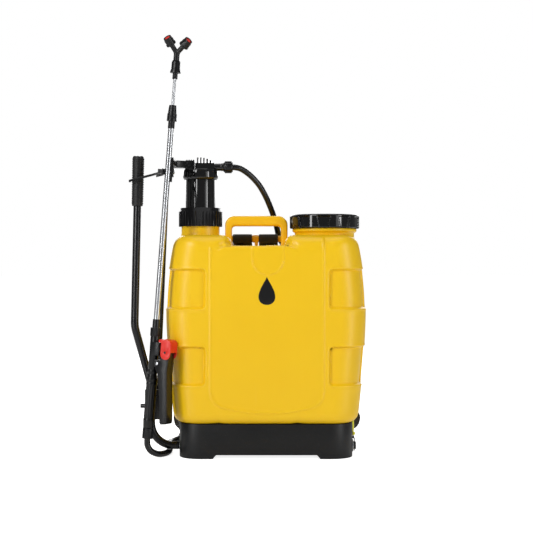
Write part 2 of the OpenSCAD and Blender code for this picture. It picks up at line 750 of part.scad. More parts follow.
module valve_seal() { color("black") at_wand(stem_t) translate([-5.5, 0, 0]) rotate([0, 90, 0]) ring(5.4, 2.6, 1.5); }
module handle_filter() { color("white") at_wand(40) ring(6, 4.6, 55); }

module hose_nut() {
    color("dimgray") at_wand(-10) difference() {
        ribbed_ring(9.6, hose_r + gap, 18.5, 12, 1.8);
        translate([0, 0, 4]) cylinder(r = 6.8 + gap, h = 20);
    }
}

module lance_nut() {
    color("dimgray") at_wand(172.3) difference() {
        union() {
            ribbed_ring(9.2, 5, 15, 12, 1.6);
            translate([0, 0, 15]) cylinder(r = 6.4, h = 15);
        }
        translate([0, 0, -1]) cylinder(r = 6.4 + gap, h = 13);
        translate([0, 0, 10]) cylinder(r = lance_r + clear, h = 30);
    }
}

module lance_tube() {
    color("silver") at_wand(184.5) ring(lance_r, lance_r - 0.7, 363.5);
}

module valve_stem() {
    color("silver") at_wand(stem_t) translate([-1, 0, 0]) rotate([0, 90, 0]) {
        cylinder(r = 2.5, h = 26);
        translate([0, 0, -2.9]) cylinder(r = 4.6, h = 2.9);
        translate([0, 0, 25.2]) cylinder(r = 4, h = 2.4);
    }
}

// A coil spring round the stem, drawn as a stack of rings.
module valve_spring() {
    color("silver") at_wand(stem_t) for (i = [0:3]) translate([3.2 + 1.9 * i, 0, 0]) rotate([0, 90, 0])
        rotate_extrude() translate([4, 0]) circle(r = 0.6);
}

// The trigger is a channel, open towards the handle, hung from its pin. Its lower end closes
// on the handle, and its upper end draws the valve's stem out.
module trigger() {
    outline = concat([[11, 129], [10.5, 118], [17.5, 104], [21, 80], [24.6, 52], [27.5, 22], [30, 19],
        [40, 20.5], [41.4, 25], [39.4, 52], [36.6, 82], [34.3, 111], [35.4, 128], [35, 140]],
        arc(lock_u, lock_t, 7, -10, 150, 8), [[21, 140], [19, 132]]);
    channel = [[-10, 112], [-10, 15], [34, 15], [38.4, 27], [36.4, 52], [33.6, 82], [31.4, 111]];
    half = 11;
    color("dimgray") at_wand() difference() {
        union() {
            rotate([90, 0, 0]) linear_extrude(2 * half, center = true) polygon(outline);
            translate([lock_u, 0, lock_t]) rotate([90, 0, 0]) cylinder(r = 2, h = 2 * half + 3.8, center = true);
        }
        rotate([90, 0, 0]) linear_extrude(2 * half - 4, center = true) polygon(channel);
        translate([pivot_u, 0, pivot_t]) rotate([90, 0, 0]) cylinder(r = 2.5 + clear, h = 40, center = true);
        translate([-10, -6.3, 105]) cube([31.6, 12.6, 60]);
        translate([16, -9.2, 136]) cube([6.5, 18.4, 30]);
        translate([20, -3.2, stem_t - 3.2]) cube([10, 6.4, 30]);
        translate([23.7, -4.6, stem_t - 4.6]) cube([5, 9.2, 30]);
    }
}

module trigger_pin() {
    color("silver") at_wand() translate([pivot_u, 0, pivot_t]) rotate([90, 0, 0])
        cylinder(r = 2.5, h = 23, center = true);
}

// The latch straddles the trigger's upper end and hooks towards the valve.
module trigger_lock() {
    cover = concat(arc(29.6, 143, 9.8, 180, 360, 10), [[39.4, 159]], arc(31, 160, 8.4, 0, 90, 6),
        [[17, 168.4], [15, 166.8], [15, 163.4], [19.8, 162.6]]);
    color("red") at_wand() difference() {
        rotate([90, 0, 0]) linear_extrude(25.2, center = true) polygon(cover);
        rotate([90, 0, 0]) linear_extrude(22.4, center = true)
            polygon([[0, 100], [50, 100], [50, 146], [37.5, 146], [37.5, 162], [34, 166], [0, 166]]);
        translate([lock_u, 0, lock_t]) rotate([90, 0, 0]) cylinder(r = 2 + clear, h = 40, center = true);
    }
}

module lance_collar() {
    color("dimgray") at_wand(542.5) difference() {
        union() {
            cylinder(r = 5.9, h = 13);
            translate([0, 0, 13]) cylinder(r1 = 9, r2 = 6.5, h = 28);
            for (a = [0:45:315]) rotate(a) translate([5.5, -0.8, 14]) cube([3.2, 1.6, 12]);
        }
        translate([0, 0, -1]) cylinder(r = lance_r + clear, h = 11);
        translate([0, 0, -1]) cylinder(r = inner_r + clear, h = 60);
    }
}

module lance_seal() { color("black") at_wand(548.1) ring(lance_r, inner_r + clear, 3.8); }

module inner_tube() {
    color("gray") at_wand(296) ring(inner_r, inner_r - 0.6, 351.5);
}

module nozzle_nut() {
    color("dimgray") at_wand(630.5) difference() {
        union() {
            cylinder(r = 4.6, h = 12);
            translate([0, 0, 11]) cylinder(r1 = 9.8, r2 = 8.2, h = 7);
            translate([0, 0, 18]) cylinder(r = 7.9, h = 12);
            translate([0, 0, 30]) cylinder(r1 = 7.9, r2 = 6.4, h = 3);
        }
        translate([0, 0, -1]) cylinder(r = inner_r, h = 18.5);
        translate([0, 0, 17]) cylinder(r = 5 + clear, h = 20);
    }
}

module at_fork(side) {
    at_wand(fork_t, 0) rotate([fork_forward, 0, 0])
        rotate([0, side * fork_angles[side < 0 ? 0 : 1], 0]) children();
}

module nozzle_fork() {
    color("dimgray") difference() {
        union() {
            at_wand(649.5) cylinder(r = 5, h = 14.5);
            at_wand(663.5) cylinder(r = 5.3, h = 13);
            at_wand(fork_t) sphere(r = 5.7);
            for (side = [-1, 1]) at_fork(side) cylinder(r = 4.4, h = fork_arm + 6);
        }
        at_wand(643.5) cylinder(r = 2, h = 33);
        at_wand(fork_t) sphere(r = 2.3);
        for (side = [-1, 1]) at_fork(side) translate([0, 0, 0.7]) cylinder(r = 2, h = 40);
    }
}

module nozzle_cap(side) {
    color("dimgray") at_fork(side) translate([0, 0, fork_arm]) difference() {
        union() {
            cylinder(r1 = 9.4, r2 = 8.9, h = 3);
            translate([0, 0, 2.9]) cylinder(r1 = 8.3, r2 = 7.3, h = 12.1);
            for (a = [0:45:315]) rotate(a) translate([6.9, -0.8, 2.5]) cube([1.5, 1.6, 8]);
        }
        translate([0, 0, -1]) cylinder(r = 4.4 + clear, h = 9);
        translate([0, 0, 6.5]) cylinder(r = 6, h = 20);
    }
}

module left_cap() { nozzle_cap(-1); }
module right_cap() { nozzle_cap(1); }

module nozzle_tips() {
    color("red") for (side = [-1, 1]) at_fork(side) translate([0, 0, fork_arm + 6.6]) difference() {
        union() {
            cylinder(r = 5.4, h = 7);
            translate([0, 0, 6]) cylinder(r = 4.2, h = 2);
        }
        translate([0, 0, -1]) cylinder(r = 0.8, h = 12);
    }
}

// The hose: from the pump's outlet over the saddle to the clip on the tank's back,
// and from there down and round the base to the wand.
upper_route = [[-64, 0, 526.5], [-56, 0, 526], [-45, 4, 523], [-29, 10, 512], [-13, 19, 495],
    [-1, 29, 475], [8, 39, 455], [14, 48, 439], [20, 58, 419], [24, 68, 402], [28, 82, 393],
    [32, 97, 386], [35, 103, 372], [38, 102, 355], [40, 100, 335], [40, 100, 300], [40, 100, 268],
    [40, 100, 250]];
lower_route = [[40, 100, 250], [40, 100, 225], [40, 100, 190], [38, 100, 150], [32, 100, 112], [16, 99.5, 78],
    [-8, 95, 54], [-40, 91, 41], [-66, 90.5, 38], [-92, 91.5, 37], [-118, 96, 32], [-142, 102, 22],
    [-164, 101, 12], [-180, 90, 7], [-187, 66, 6], [-184, 38, 6.3], [-179, 10, 6.6], [-177, -12, 6],
    [-178, -34, 5.7], [-184, -55, 5.9], [-194, -72, 8], [-204.5, -81.5, 14.5], [-210.3, -84, 24],
    [-211.2, -84, 33], [-210.6, -84, 41]];

function hose_ring(p, along, r, n) =
    let (side = unit(cross(along, abs(along[2]) > 0.9 ? [0, 1, 0] : [0, 0, 1])), up = cross(side, along))
    [for (i = [0:n - 1]) p + r * (side * cos(360 * i / n) + up * sin(360 * i / n))];

module hose(route) {
    run = smooth(route, 2);
    color("black") skin([for (j = [0:len(run) - 1]) hose_ring(run[j], heading(run, j), hose_r, 10)]);
}

module hose_upper() { hose(upper_route); }
module hose_lower() { hose(lower_route); }

base_skirt();
base_screws();
shaft_bushes();
side_peg();
tank_shell();
carry_handle();
strap_bracket();
bracket_screws();
hose_clips();
left_strap();
right_strap();
strap_adjusters();
strap_hooks();
pump_barrel();
barrel_gasket();
foot_valve();
foot_ball();
filler_strainer();
collar_nut();
air_chamber();
chamber_cap();
chamber_bolt();
drive_arm();
piston_head();
piston_seal();
outlet_ball();
outlet_nut();
link_rod();
link_pin();
lever_tube();
lever_grip();
crank_bracket();
crank_pin();
shaft_washer();
cotter_pin();
lid_gasket();
breather_valve();
filler_lid();
handle_tube();
valve_body();
valve_seal();
handle_filter();
hose_nut();
lance_nut();
lance_tube();
valve_stem();
valve_spring();
trigger();
trigger_pin();
trigger_lock();
lance_collar();
lance_seal();
inner_tube();
nozzle_nut();
nozzle_fork();
left_cap();
right_cap();
nozzle_tips();
hose_upper();
hose_lower();
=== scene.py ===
import math

import bmesh
import bpy
import numpy as np
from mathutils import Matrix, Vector


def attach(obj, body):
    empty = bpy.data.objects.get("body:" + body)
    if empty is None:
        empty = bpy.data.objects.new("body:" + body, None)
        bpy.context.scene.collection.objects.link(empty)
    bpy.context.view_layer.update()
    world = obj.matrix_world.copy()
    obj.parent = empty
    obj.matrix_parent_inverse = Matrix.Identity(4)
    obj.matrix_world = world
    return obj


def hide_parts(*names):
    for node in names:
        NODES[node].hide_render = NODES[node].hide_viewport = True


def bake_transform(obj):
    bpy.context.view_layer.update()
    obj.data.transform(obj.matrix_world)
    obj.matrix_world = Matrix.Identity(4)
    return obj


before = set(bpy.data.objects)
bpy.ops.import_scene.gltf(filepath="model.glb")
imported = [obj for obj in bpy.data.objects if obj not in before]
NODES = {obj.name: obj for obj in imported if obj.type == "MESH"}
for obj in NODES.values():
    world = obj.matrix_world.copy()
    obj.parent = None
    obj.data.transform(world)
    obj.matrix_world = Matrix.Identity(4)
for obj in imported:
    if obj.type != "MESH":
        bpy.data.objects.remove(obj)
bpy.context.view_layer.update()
scene = bpy.context.scene
MM = 0.001

# ---------------------------------------------------------------- camera

CAMERA_AT = (0.0009, -2.190, 0.343)
camera = bpy.data.objects.new("camera", bpy.data.cameras.new("camera"))
scene.collection.objects.link(camera)
camera.data.lens = 80
camera.data.sensor_width = 36
camera.location = CAMERA_AT
camera.rotation_euler = (math.pi / 2, 0, 0)
scene.camera = camera


# ---------------------------------------------------------------- materials

class Shader:
    """A material's node tree, with one call for each node it takes."""

    def __init__(self, name):
        self.material = bpy.data.materials.new(name)
        self.material.use_nodes = True
        self.tree = self.material.node_tree
        self.main = self.tree.nodes["Principled BSDF"]
        self.place = self.tree.nodes.new("ShaderNodeTexCoord").outputs["Object"]

    def put(self, socket, value):
        if isinstance(value, bpy.types.NodeSocket):
            self.tree.links.new(value, socket)
        else:
            socket.default_value = value

    def set(self, **values):
        for name, value in values.items():
            self.put(self.main.inputs[name.replace("_", " ").title()], value)

    def node(self, kind, inputs=(), **settings):
        made = self.tree.nodes.new("ShaderNode" + kind)
        for name, value in settings.items():
            setattr(made, name, value)
        for name, value in dict(inputs).items():
            self.put(made.inputs[name], value)
        return made

    def stretched(self, scale):
        return self.node("Mapping", {"Vector": self.place, "Scale": scale}).outputs[0]

    def noise(self, scale, detail=2.0, rough=0.5, at=None):
        return self.node("TexNoise", {"Vector": at or self.place, "Scale": scale, "Detail": detail,
                                      "Roughness": rough}).outputs["Fac"]

    def ramp(self, value, low, high, out_low=0.0, out_high=1.0):
        return self.node("MapRange", {"Value": value, "From Min": low, "From Max": high,
                                      "To Min": out_low, "To Max": out_high}).outputs[0]

    def mix(self, share, a, b):
        made = self.node("Mix", data_type="RGBA")
        for socket, value in zip((made.inputs[0], made.inputs[6], made.inputs[7]), (share, a, b)):
            self.put(socket, value)
        return made.outputs[2]

    def math(self, operation, a, b=0.0):
        made = self.node("Math", operation=operation)
        self.put(made.inputs[0], a)
        self.put(made.inputs[1], b)
        return made.outputs[0]

    def bump(self, height, depth, strength=1.0, over=None):
        made = self.node("Bump", {"Height": height, "Distance": depth, "Strength": strength})
        if over is not None:
            self.put(made.inputs["Normal"], over)
        return made.outputs[0]


def rgb(r, g, b):
    """A colour as a screen shows it, from 0 to 255, in linear light."""
    return tuple(((c / 255 + 0.055) / 1.055) ** 2.4 if c > 10 else c / 255 / 12.92
                 for c in (r, g, b)) + (1.0,)


def shade(colour, factor):
    return tuple(min(1, c * factor) for c in colour[:3]) + (1.0,)


def moulded(name, colour, rough=0.4, grain=0.00002, grain_scale=1800.0, mottle=0.05, highlight_and_wear=0.12,
            coat=0.0, waxy=0.0, shine=0.5, top_rough=0.0):
    """Moulded plastic: a fine grain, slow changes of tone and gloss, paler edges that are a painted
    highlight, and faint scuffs. Upward faces, where hands and dust dull them, are rougher by top_rough."""
    s = Shader(name)
    slow = s.noise(11.0, 3.0)
    fine = s.noise(grain_scale, 2.0, 0.6)
    scuff = s.ramp(s.noise(60.0, 8.0, 0.72, s.stretched((1.0, 1.0, 0.25))), 0.60, 0.72)
    base = s.mix(slow, shade(colour, 1 - mottle), shade(colour, 1 + mottle))
    # paler colour along sharp edges: a painted highlight; the scuffs mixed in with it below are wear
    edge = s.ramp(s.node("NewGeometry").outputs["Pointiness"], 0.52, 0.60, 0.0, highlight_and_wear)
    pale = shade(tuple(c + 0.05 for c in colour[:3]), 1.25)
    base = s.mix(s.math("ADD", edge, s.math("MULTIPLY", scuff, highlight_and_wear * 0.3)), base, pale)
    gloss = s.math("ADD", s.ramp(slow, 0.3, 0.7, rough - 0.04, rough + 0.04),
                   s.math("MULTIPLY", scuff, 0.10))
    if top_rough:
        upright = s.node("SeparateXYZ", {"Vector": s.node("NewGeometry").outputs["Normal"]}).outputs[2]
        dulled = s.ramp(upright, 0.80, 0.96)
        gloss = s.math("ADD", gloss, s.math("MULTIPLY", dulled, top_rough))
        coat = s.ramp(dulled, 0.0, 1.0, coat, 0.0)
        shine = s.ramp(dulled, 0.0, 1.0, shine, shine * 0.5)
    s.set(base_color=base, roughness=gloss, normal=s.bump(fine, grain, 1.0))
    s.put(s.main.inputs["Specular IOR Level"], shine)
    if coat:
        s.put(s.main.inputs["Coat Weight"], coat)
        s.put(s.main.inputs["Coat Roughness"], 0.05)
    if waxy:
        s.put(s.main.inputs["Subsurface Weight"], waxy)
        s.put(s.main.inputs["Subsurface Radius"], (0.012, 0.006, 0.001))
        s.put(s.main.inputs["Subsurface Scale"], 0.3)
    return s.material


def blown_plastic():
    """Blow-moulded polyethylene: a slightly uneven wall, a fine sandy grain and paler edges, a painted
    highlight.
    """
    s = Shader("tank_yellow")
    slow = s.noise(6.0, 3.0)
    sand = s.noise(900.0, 3.0, 0.65)
    ripple = s.noise(28.0, 2.0)
    cloud = s.noise(3.0, 2.0)
    base = s.mix(slow, rgb(246, 196, 4), rgb(251, 205, 10))
    base = s.mix(s.ramp(sand, 0.62, 0.8, 0.0, 0.22), base, rgb(226, 165, 12))
    # paler colour along sharp edges: a painted highlight
    edge = s.ramp(s.node("NewGeometry").outputs["Pointiness"], 0.52, 0.58, 0.0, 0.16)
    base = s.mix(edge, base, rgb(255, 222, 100))
    scratch = s.ramp(s.noise(45.0, 9.0, 0.75, s.stretched((1.0, 1.0, 0.15))), 0.62, 0.74, 0.0, 0.12)
    base = s.mix(scratch, base, rgb(252, 214, 92))
    gloss = s.math("ADD", s.ramp(cloud, 0.3, 0.7, 0.34, 0.42), s.math("MULTIPLY", scratch, 0.8))
    s.set(base_color=base, roughness=gloss,
          normal=s.bump(sand, 0.00004, 0.6, s.bump(ripple, 0.0004, 0.30)))
    s.put(s.main.inputs["Subsurface Weight"], 0.06)
    s.put(s.main.inputs["Subsurface Radius"], (0.010, 0.006, 0.001))
    s.put(s.main.inputs["Subsurface Scale"], 0.3)
    return s.material


def speckled_base():
    """Black plastic with a spark-eroded texture and a little dust in it."""
    s = Shader("base_black")
    grit = s.node("TexVoronoi", {"Vector": s.place, "Scale": 700.0}).outputs["Distance"]
    fine = s.noise(1500.0, 3.0, 0.7)
    slow = s.noise(14.0, 3.0)
    fleck = s.ramp(s.noise(820.0, 1.0), 0.66, 0.74)
    base = s.mix(slow, rgb(9, 9, 11), rgb(16, 17, 18))
    base = s.mix(s.math("MULTIPLY", fleck, 0.30), base, rgb(70, 70, 72))
    # lighter colour along sharp edges: a painted highlight
    edge = s.ramp(s.node("NewGeometry").outputs["Pointiness"], 0.52, 0.60, 0.0, 0.2)
    base = s.mix(edge, base, rgb(60, 61, 63))
    s.put(s.main.inputs["Specular IOR Level"], 0.35)
    s.set(base_color=base, roughness=s.ramp(slow, 0.3, 0.7, 0.36, 0.46),
          normal=s.bump(grit, 0.00012, 0.5, s.bump(fine, 0.00006, 0.6)))
    return s.material


def rubber(name, colour, rough):
    """Rubber: a dull fine grain with a little dust."""
    s = Shader(name)
    slow = s.noise(20.0, 3.0)
    fine = s.noise(2200.0, 3.0, 0.7)
    dust = s.ramp(s.noise(90.0, 6.0, 0.7), 0.55, 0.75, 0.0, 0.06)
    base = s.mix(slow, shade(colour, 0.85), shade(colour, 1.2))
    base = s.mix(dust, base, rgb(84, 82, 80))
    s.set(base_color=base, roughness=s.ramp(slow, 0.3, 0.7, rough - 0.06, rough + 0.06),
          normal=s.bump(fine, 0.00003, 0.8))
    return s.material


def webbing():
    """Woven polypropylene tape: ribs along the strap crossed by the weft, with a slight sheen."""
    s = Shader("strap_webbing")
    place = s.node("UVMap").outputs[0]
    split = s.node("SeparateXYZ", {"Vector": place})
    across, along = split.outputs[0], split.outputs[1]
    rib = s.math("SINE", s.math("MULTIPLY", across, 2 * math.pi / 0.0030))
    row = s.math("SINE", s.math("MULTIPLY", along, 2 * math.pi / 0.0022))
    weave = s.math("MULTIPLY", rib, row)
    fuzz = s.noise(2600.0, 3.0, 0.7)
    height = s.math("ADD", s.math("MULTIPLY", s.math("ABSOLUTE", rib), 0.6),
                    s.math("ADD", s.math("MULTIPLY", weave, 0.4), s.math("MULTIPLY", fuzz, 0.4)))
    slow = s.noise(25.0, 3.0)
    base = s.mix(s.ramp(weave, -0.6, 0.6), rgb(8, 8, 9), rgb(31, 31, 34))
    edge = s.ramp(s.math("ABSOLUTE", across), 0.0150, 0.0158)
    line = s.math("MULTIPLY", edge, s.ramp(s.math("ABSOLUTE", across), 0.0172, 0.0166))
    base = s.mix(s.math("MULTIPLY", line, 0.5), base, rgb(58, 58, 62))
    base = s.mix(s.ramp(slow, 0.45, 0.75, 0.0, 0.15), base, rgb(54, 53, 52))
    s.set(base_color=base, roughness=0.72, normal=s.bump(height, 0.0004, 1.0))
    s.put(s.main.inputs["Sheen Weight"], 0.25)
    s.put(s.main.inputs["Sheen Roughness"], 0.5)
    return s.material


def steel(name, colour, rough, metal=1.0):
    """Drawn tube: streaks along Z, small changes of tone and faint smears."""
    s = Shader(name)
    streak = s.noise(160.0, 2.0, 0.5, s.stretched((1.0, 1.0, 0.02)))
    smear = s.noise(9.0, 2.0, 0.5)
    base = s.mix(s.ramp(streak, 0.3, 0.7), shade(colour, 0.97), shade(colour, 1.03))
    base = s.mix(s.ramp(smear, 0.55, 0.8, 0.0, 0.2), base, shade(colour, 0.8))
    s.set(base_color=base, metallic=metal, roughness=s.ramp(smear, 0.3, 0.7, rough, rough + 0.10))
    return s.material


MATERIALS = {
    "yellow_plastic": blown_plastic(),
    "orange_plastic": moulded("handle_orange", rgb(254, 196, 8), 0.34, waxy=0.05),
    "yellow_trim": moulded("trim_yellow", rgb(240, 236, 52), 0.36, waxy=0.05),
    "base_plastic": speckled_base(),
    "black_plastic": moulded("plastic_black", rgb(10, 10, 12), 0.30, 0.00003, 1500.0, 0.15, 0.03,
                             shine=0.42),
    "gloss_black_plastic": moulded("gloss_black", rgb(9, 9, 10), 0.09, 0.00001, 900.0, 0.1, 0.05,
                                   coat=0.35, top_rough=0.34),
    "white_plastic": moulded("plastic_white", rgb(226, 226, 222), 0.42, waxy=0.05),
    "red_plastic": moulded("plastic_red", rgb(226, 36, 22), 0.32, waxy=0.04),
    "grip_rubber": rubber("rubber_grip", rgb(15, 15, 17), 0.50),
    "seal_rubber": rubber("rubber_seal", rgb(18, 18, 19), 0.5),
    "hose_rubber": rubber("rubber_hose", rgb(9, 9, 10), 0.25),
    "webbing": webbing(),
    "black_steel": steel("steel_black", rgb(18, 18, 20), 0.20, metal=0.2),
    "stainless_steel": steel("steel_bright", rgb(198, 200, 203), 0.20),
}


# ---------------------------------------------------------------- meshes

def shown(name, verts, faces, slot, body, replaced=(), smooth=35.0, uvs=None):
    """A new piece from points in metres, smooth up to an angle, riding on a body."""
    mesh = bpy.data.meshes.new(name)
    mesh.from_pydata([tuple(v) for v in verts], [], [tuple(int(i) for i in f) for f in faces])
    mesh.validate()
    mesh.shade_smooth()
    mesh.set_sharp_from_angle(angle=math.radians(smooth))
    if uvs is not None:
        layer = mesh.uv_layers.new(name="UVMap")
        index = np.zeros(len(mesh.loops), np.int32)
        mesh.loops.foreach_get("vertex_index", index)
        layer.data.foreach_set("uv", np.asarray(uvs, np.float32)[index].ravel())
    made = bpy.data.objects.new(name, mesh)
    scene.collection.objects.link(made)
    finish_piece(made, slot, body, replaced)
    return made


def finish_piece(made, slot, body, replaced=()):
    """Gives a piece its material and its body, which may be none for a piece that is blended."""
    made.data.materials.clear()
    made.data.materials.append(MATERIALS[slot])
    if replaced:
        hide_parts(*replaced)
    if body:
        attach(made, body)


def spline(points, steps):
    """Points on a smooth curve through the given points, steps of them for each stretch."""
    p = np.array(points, float)
    p = np.vstack([2 * p[0] - p[1], p, 2 * p[-1] - p[-2]])
    out = []
    for i in range(1, len(p) - 2):
        for k in range(steps):
            t = k / steps
            out.append(0.5 * (2 * p[i] + (p[i + 1] - p[i - 1]) * t
                              + (2 * p[i - 1] - 5 * p[i] + 4 * p[i + 1] - p[i + 2]) * t ** 2
                              + (3 * p[i] - 3 * p[i + 1] + p[i + 2] - p[i - 1]) * t ** 3))
    out.append(p[-2])
    return np.array(out)


def loft(rings, closed=False):
    """Faces between rings of the same number of points, with a cap at each end unless closed."""
    count, around = len(rings), len(rings[0])
    faces = []
    for j in range(count if closed else count - 1):
        a, b = j * around, (j + 1) % count * around
        faces += [(a + i, a + (i + 1) % around, b + (i + 1) % around, b + i) for i in range(around)]
    if not closed:
        faces += [tuple(range(around - 1, -1, -1)), tuple(range((count - 1) * around, count * around))]
    return np.vstack(rings), faces


def tube(path, radius, sides=16):
    """A round tube along a path; radius may be one number or one for each point."""
    path = np.array(path, float)
    radius = np.broadcast_to(radius, len(path))
    along = np.gradient(path, axis=0)
    along /= np.linalg.norm(along, axis=1)[:, None]
    across = np.cross(along[0], (0.3, 0.5, 0.81))
    rings = []
    for point, way, r in zip(path, along, radius):
        across = across - way * across.dot(way)
        across /= np.linalg.norm(across)
        other = np.cross(way, across)
        turn = np.linspace(0, 2 * math.pi, sides, endpoint=False)[:, None]
        rings.append(point + r * (np.cos(turn) * across + np.sin(turn) * other))
    return loft(rings)


def lathe(profile, sides=96, at=(0, 0), wave=None):
    """A solid of revolution about a vertical line from a closed outline of (radius, height) in mm.
    wave(angle, r, z) may move each point; it returns the new radius and height."""
    rings = []
    for a in np.linspace(0, 2 * math.pi, sides, endpoint=False):
        ring = []
        for r, z in profile:
            if wave:
                r, z = wave(a, r, z)
            ring.append((at[0] + r * math.cos(a), at[1] + r * math.sin(a), z))
        rings.append(ring)
    verts, faces = loft(np.array(rings), closed=True)
    return verts * MM, faces


# ---------------------------------------------------------------- hoses

HOSE_D = 0.011
UPPER_ROUTE = [
    (-64, 0, 526.5), (-56, 0, 526), (-45, 4, 523), (-29, 10, 512), (-13, 19, 495), (-1, 29, 475),
    (8, 39, 455), (14, 48, 439), (20, 58, 419), (24, 68, 402), (28, 82, 393), (32, 97, 386),
    (35, 103, 372), (38, 102, 355), (40, 100, 335), (40, 100, 300), (40, 100, 268), (40, 100, 250)]
LOWER_ROUTE = [
    (40, 100, 250), (40, 100, 225), (40, 100, 190), (38, 100, 150), (32, 100, 112), (16, 99.5, 78),
    (-8, 95, 54), (-40, 91, 41), (-66, 90.5, 38), (-92, 91.5, 37), (-118, 96, 32), (-142, 102, 22),
    (-164, 101, 12), (-180, 90, 7), (-187, 66, 6), (-184, 38, 6.3), (-179, 10, 6.6), (-177, -12, 6),
    (-178, -34, 5.7), (-184, -55, 5.9), (-194, -72, 8), (-204.5, -81.5, 14.5), (-210.3, -84, 24),
    (-211.2, -84, 33), (-210.6, -84, 41)]


def hose(name, route):
    """A hose along a route, fixed in the world, in place of the node of that name."""
    path = spline(route, 8) * MM
    verts, faces = tube(path, HOSE_D / 2, 20)
    made = shown(name + "_rubber", verts, faces, "hose_rubber", None, [name])
    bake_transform(made)


hose("hose_upper", UPPER_ROUTE)
hose("hose_lower", LOWER_ROUTE)


# ---------------------------------------------------------------- tank

PUMP_X, FILLER_X = -121.0, 108.0            # the two necks
PUMP_BORE, FILLER_BORE = 31.05, 50.0        # their inner radii
TANK_DEPTH = 92.5                           # half the tank's depth
CORNER = 48.0                               # radius of its upright corners
TANK_LOW, TANK_HIGH, SADDLE = 62.5, 400.0, 380.0
LEFT_INNER, RIGHT_INNER = -62, 33           # where the two shoulders end, beside the saddle
SADDLE_X = -14.5                            # middle of the saddle
WIDEST, WIDEST_Z = 180.5, 258               # half the greatest width, and its height
WALL = 3.5
NUDGE = 0.05                                # step for slopes of the tank's field


def half_width(z):
    """Half the tank's width at a height: barrel-shaped, and narrowing faster above."""
    above = np.maximum(z - WIDEST_Z, 0) ** 2 / 1200
    below = 0.0040 * np.maximum(WIDEST_Z - z, 0) ** 1.56
    return WIDEST - above - below


def smax(a, b, k):
    """The greater of two fields, blended over a band k wide, as a fillet does."""
    return np.maximum(a, b) + np.maximum(k - np.abs(a - b), 0) ** 2 / (4 * k)


def smin(a, b, k):
    return -smax(-a, -b, k)


def step(low, high, x):
    """Rises smoothly from 0 at low to 1 at high."""
    t = np.clip((x - low) / (high - low), 0, 1)
    return t * t * (3 - 2 * t)


def round_box(x, y, half_x, half_y, r):
    """Distance to a rectangle with rounded corners, below zero inside it."""
    qx, qy = np.abs(x) - half_x + r, np.abs(y) - half_y + r
    return np.hypot(np.maximum(qx, 0), np.maximum(qy, 0)) + np.minimum(np.maximum(qx, qy), 0) - r


def wrapped(x, y, w):
    """How far round the tank a point lies from the middle of its front or back, at one level."""
    ax, ay = np.abs(x), np.abs(y)
    flat = w - CORNER
    turn = np.arctan2(np.maximum(ax - flat, 0), np.maximum(ay - (TANK_DEPTH - CORNER), 1e-6))
    round_part = flat + CORNER * turn
    past = flat + CORNER * math.pi / 2 + np.maximum(TANK_DEPTH - CORNER - ay, 0)
    return np.where(ax <= flat, ax, np.where(ay > TANK_DEPTH - CORNER, round_part, past))


def tank_field(p):
    """Below zero inside the tank, in mm, with its recesses and raised lines."""
    x, y, z = p[:, 0], p[:, 1], p[:, 2]
    w = half_width(z)
    plan = round_box(x, y, w, TANK_DEPTH, CORNER)
    brow = 35 - 13 * step(105, 150, np.abs(x))
    left = smax(plan, smax(z - TANK_HIGH, x - LEFT_INNER, 21), brow)
    right = smax(plan, smax(z - TANK_HIGH, RIGHT_INNER - x, 21), brow)
    low = smax(smax(plan, z - SADDLE, 7), np.abs(x - SADDLE_X) - 82, 18)
    f = smin(low, np.minimum(left, right), 2.5)
    f = smax(f, TANK_LOW - z, 19)
    s = wrapped(x, y, w)
    # two hollows on each side, each running from the front round to the back
    edge = np.where(x < 0, 108.0, 112.5)
    last = (w - CORNER) + CORNER * math.pi / 2 + (TANK_DEPTH - CORNER - 19)
    for bottom, top in ((132, 200), (268, 338)):
        d = round_box(s - (edge + last) / 2, z - (bottom + top) / 2, (last - edge) / 2,
                      (top - bottom) / 2, 7)
        f = f + 5.5 * step(1.1, -1.9, d) - 0.8 * np.exp(-((d - 2.4) / 1.3) ** 2)
    # the mould's parting line, up both sides
    f = f - 0.4 * np.exp(-(y / 0.9) ** 2) * step(95, 120, np.abs(x))
    front = step(-60, -75, y)
    # the raised panel's edge: two upright lines joined by a shallow arc
    middle, half = 1.85, 100.5
    dip = 82.5 + 17 * (np.abs(x - middle) / half) ** 2
    panel = smax(np.abs(x - middle) - half, dip - z, 24)
    fade = np.where(x > 0, step(398, 390, z), step(379, 372, z))
    f = f - front * fade * (1.8 * np.exp(-(panel / 1.5) ** 2) + 0.6 * step(1.5, -2.5, panel))
    # the creases where the saddle's front runs out under the two shoulders
    for end, way in ((RIGHT_INNER, 1), (LEFT_INNER, -1)):
        away = (x - end) * way
        line = z - 380.5 + 9.5 * np.clip(away / 24, 0, 1) ** 1.4
        f = f + (front * 1.6 * step(-0.6, 1.2, line) * step(17, 2, line)
                 * step(-2, 4, away) * step(28, 15, away))
    # the rounded tab under the saddle
    ax, az = x - 3.6, z - 356.3
    tab = np.where(az < 0, np.hypot(ax, az), np.abs(ax)) - 27.6
    f = f - front * step(381, 375, z) * (1.7 * np.exp(-(tab / 1.3) ** 2) + 0.35 * step(1, -2, tab))
    return f


def spaced(low, high, plain, fine=()):
    """Positions from low to high, plain mm apart, and closer in the (from, to, spacing) stretches."""
    at = np.linspace(low, high, 4000)
    gap = np.full_like(at, plain)
    for a, b, d in fine:
        gap = np.where((at > a) & (at < b), np.minimum(gap, d), gap)
    done = np.concatenate([[0], np.cumsum((1 / gap)[1:] * np.diff(at))])
    count = max(2, int(round(done[-1])))
    return np.interp(np.linspace(0, done[-1], count + 1), done, at)


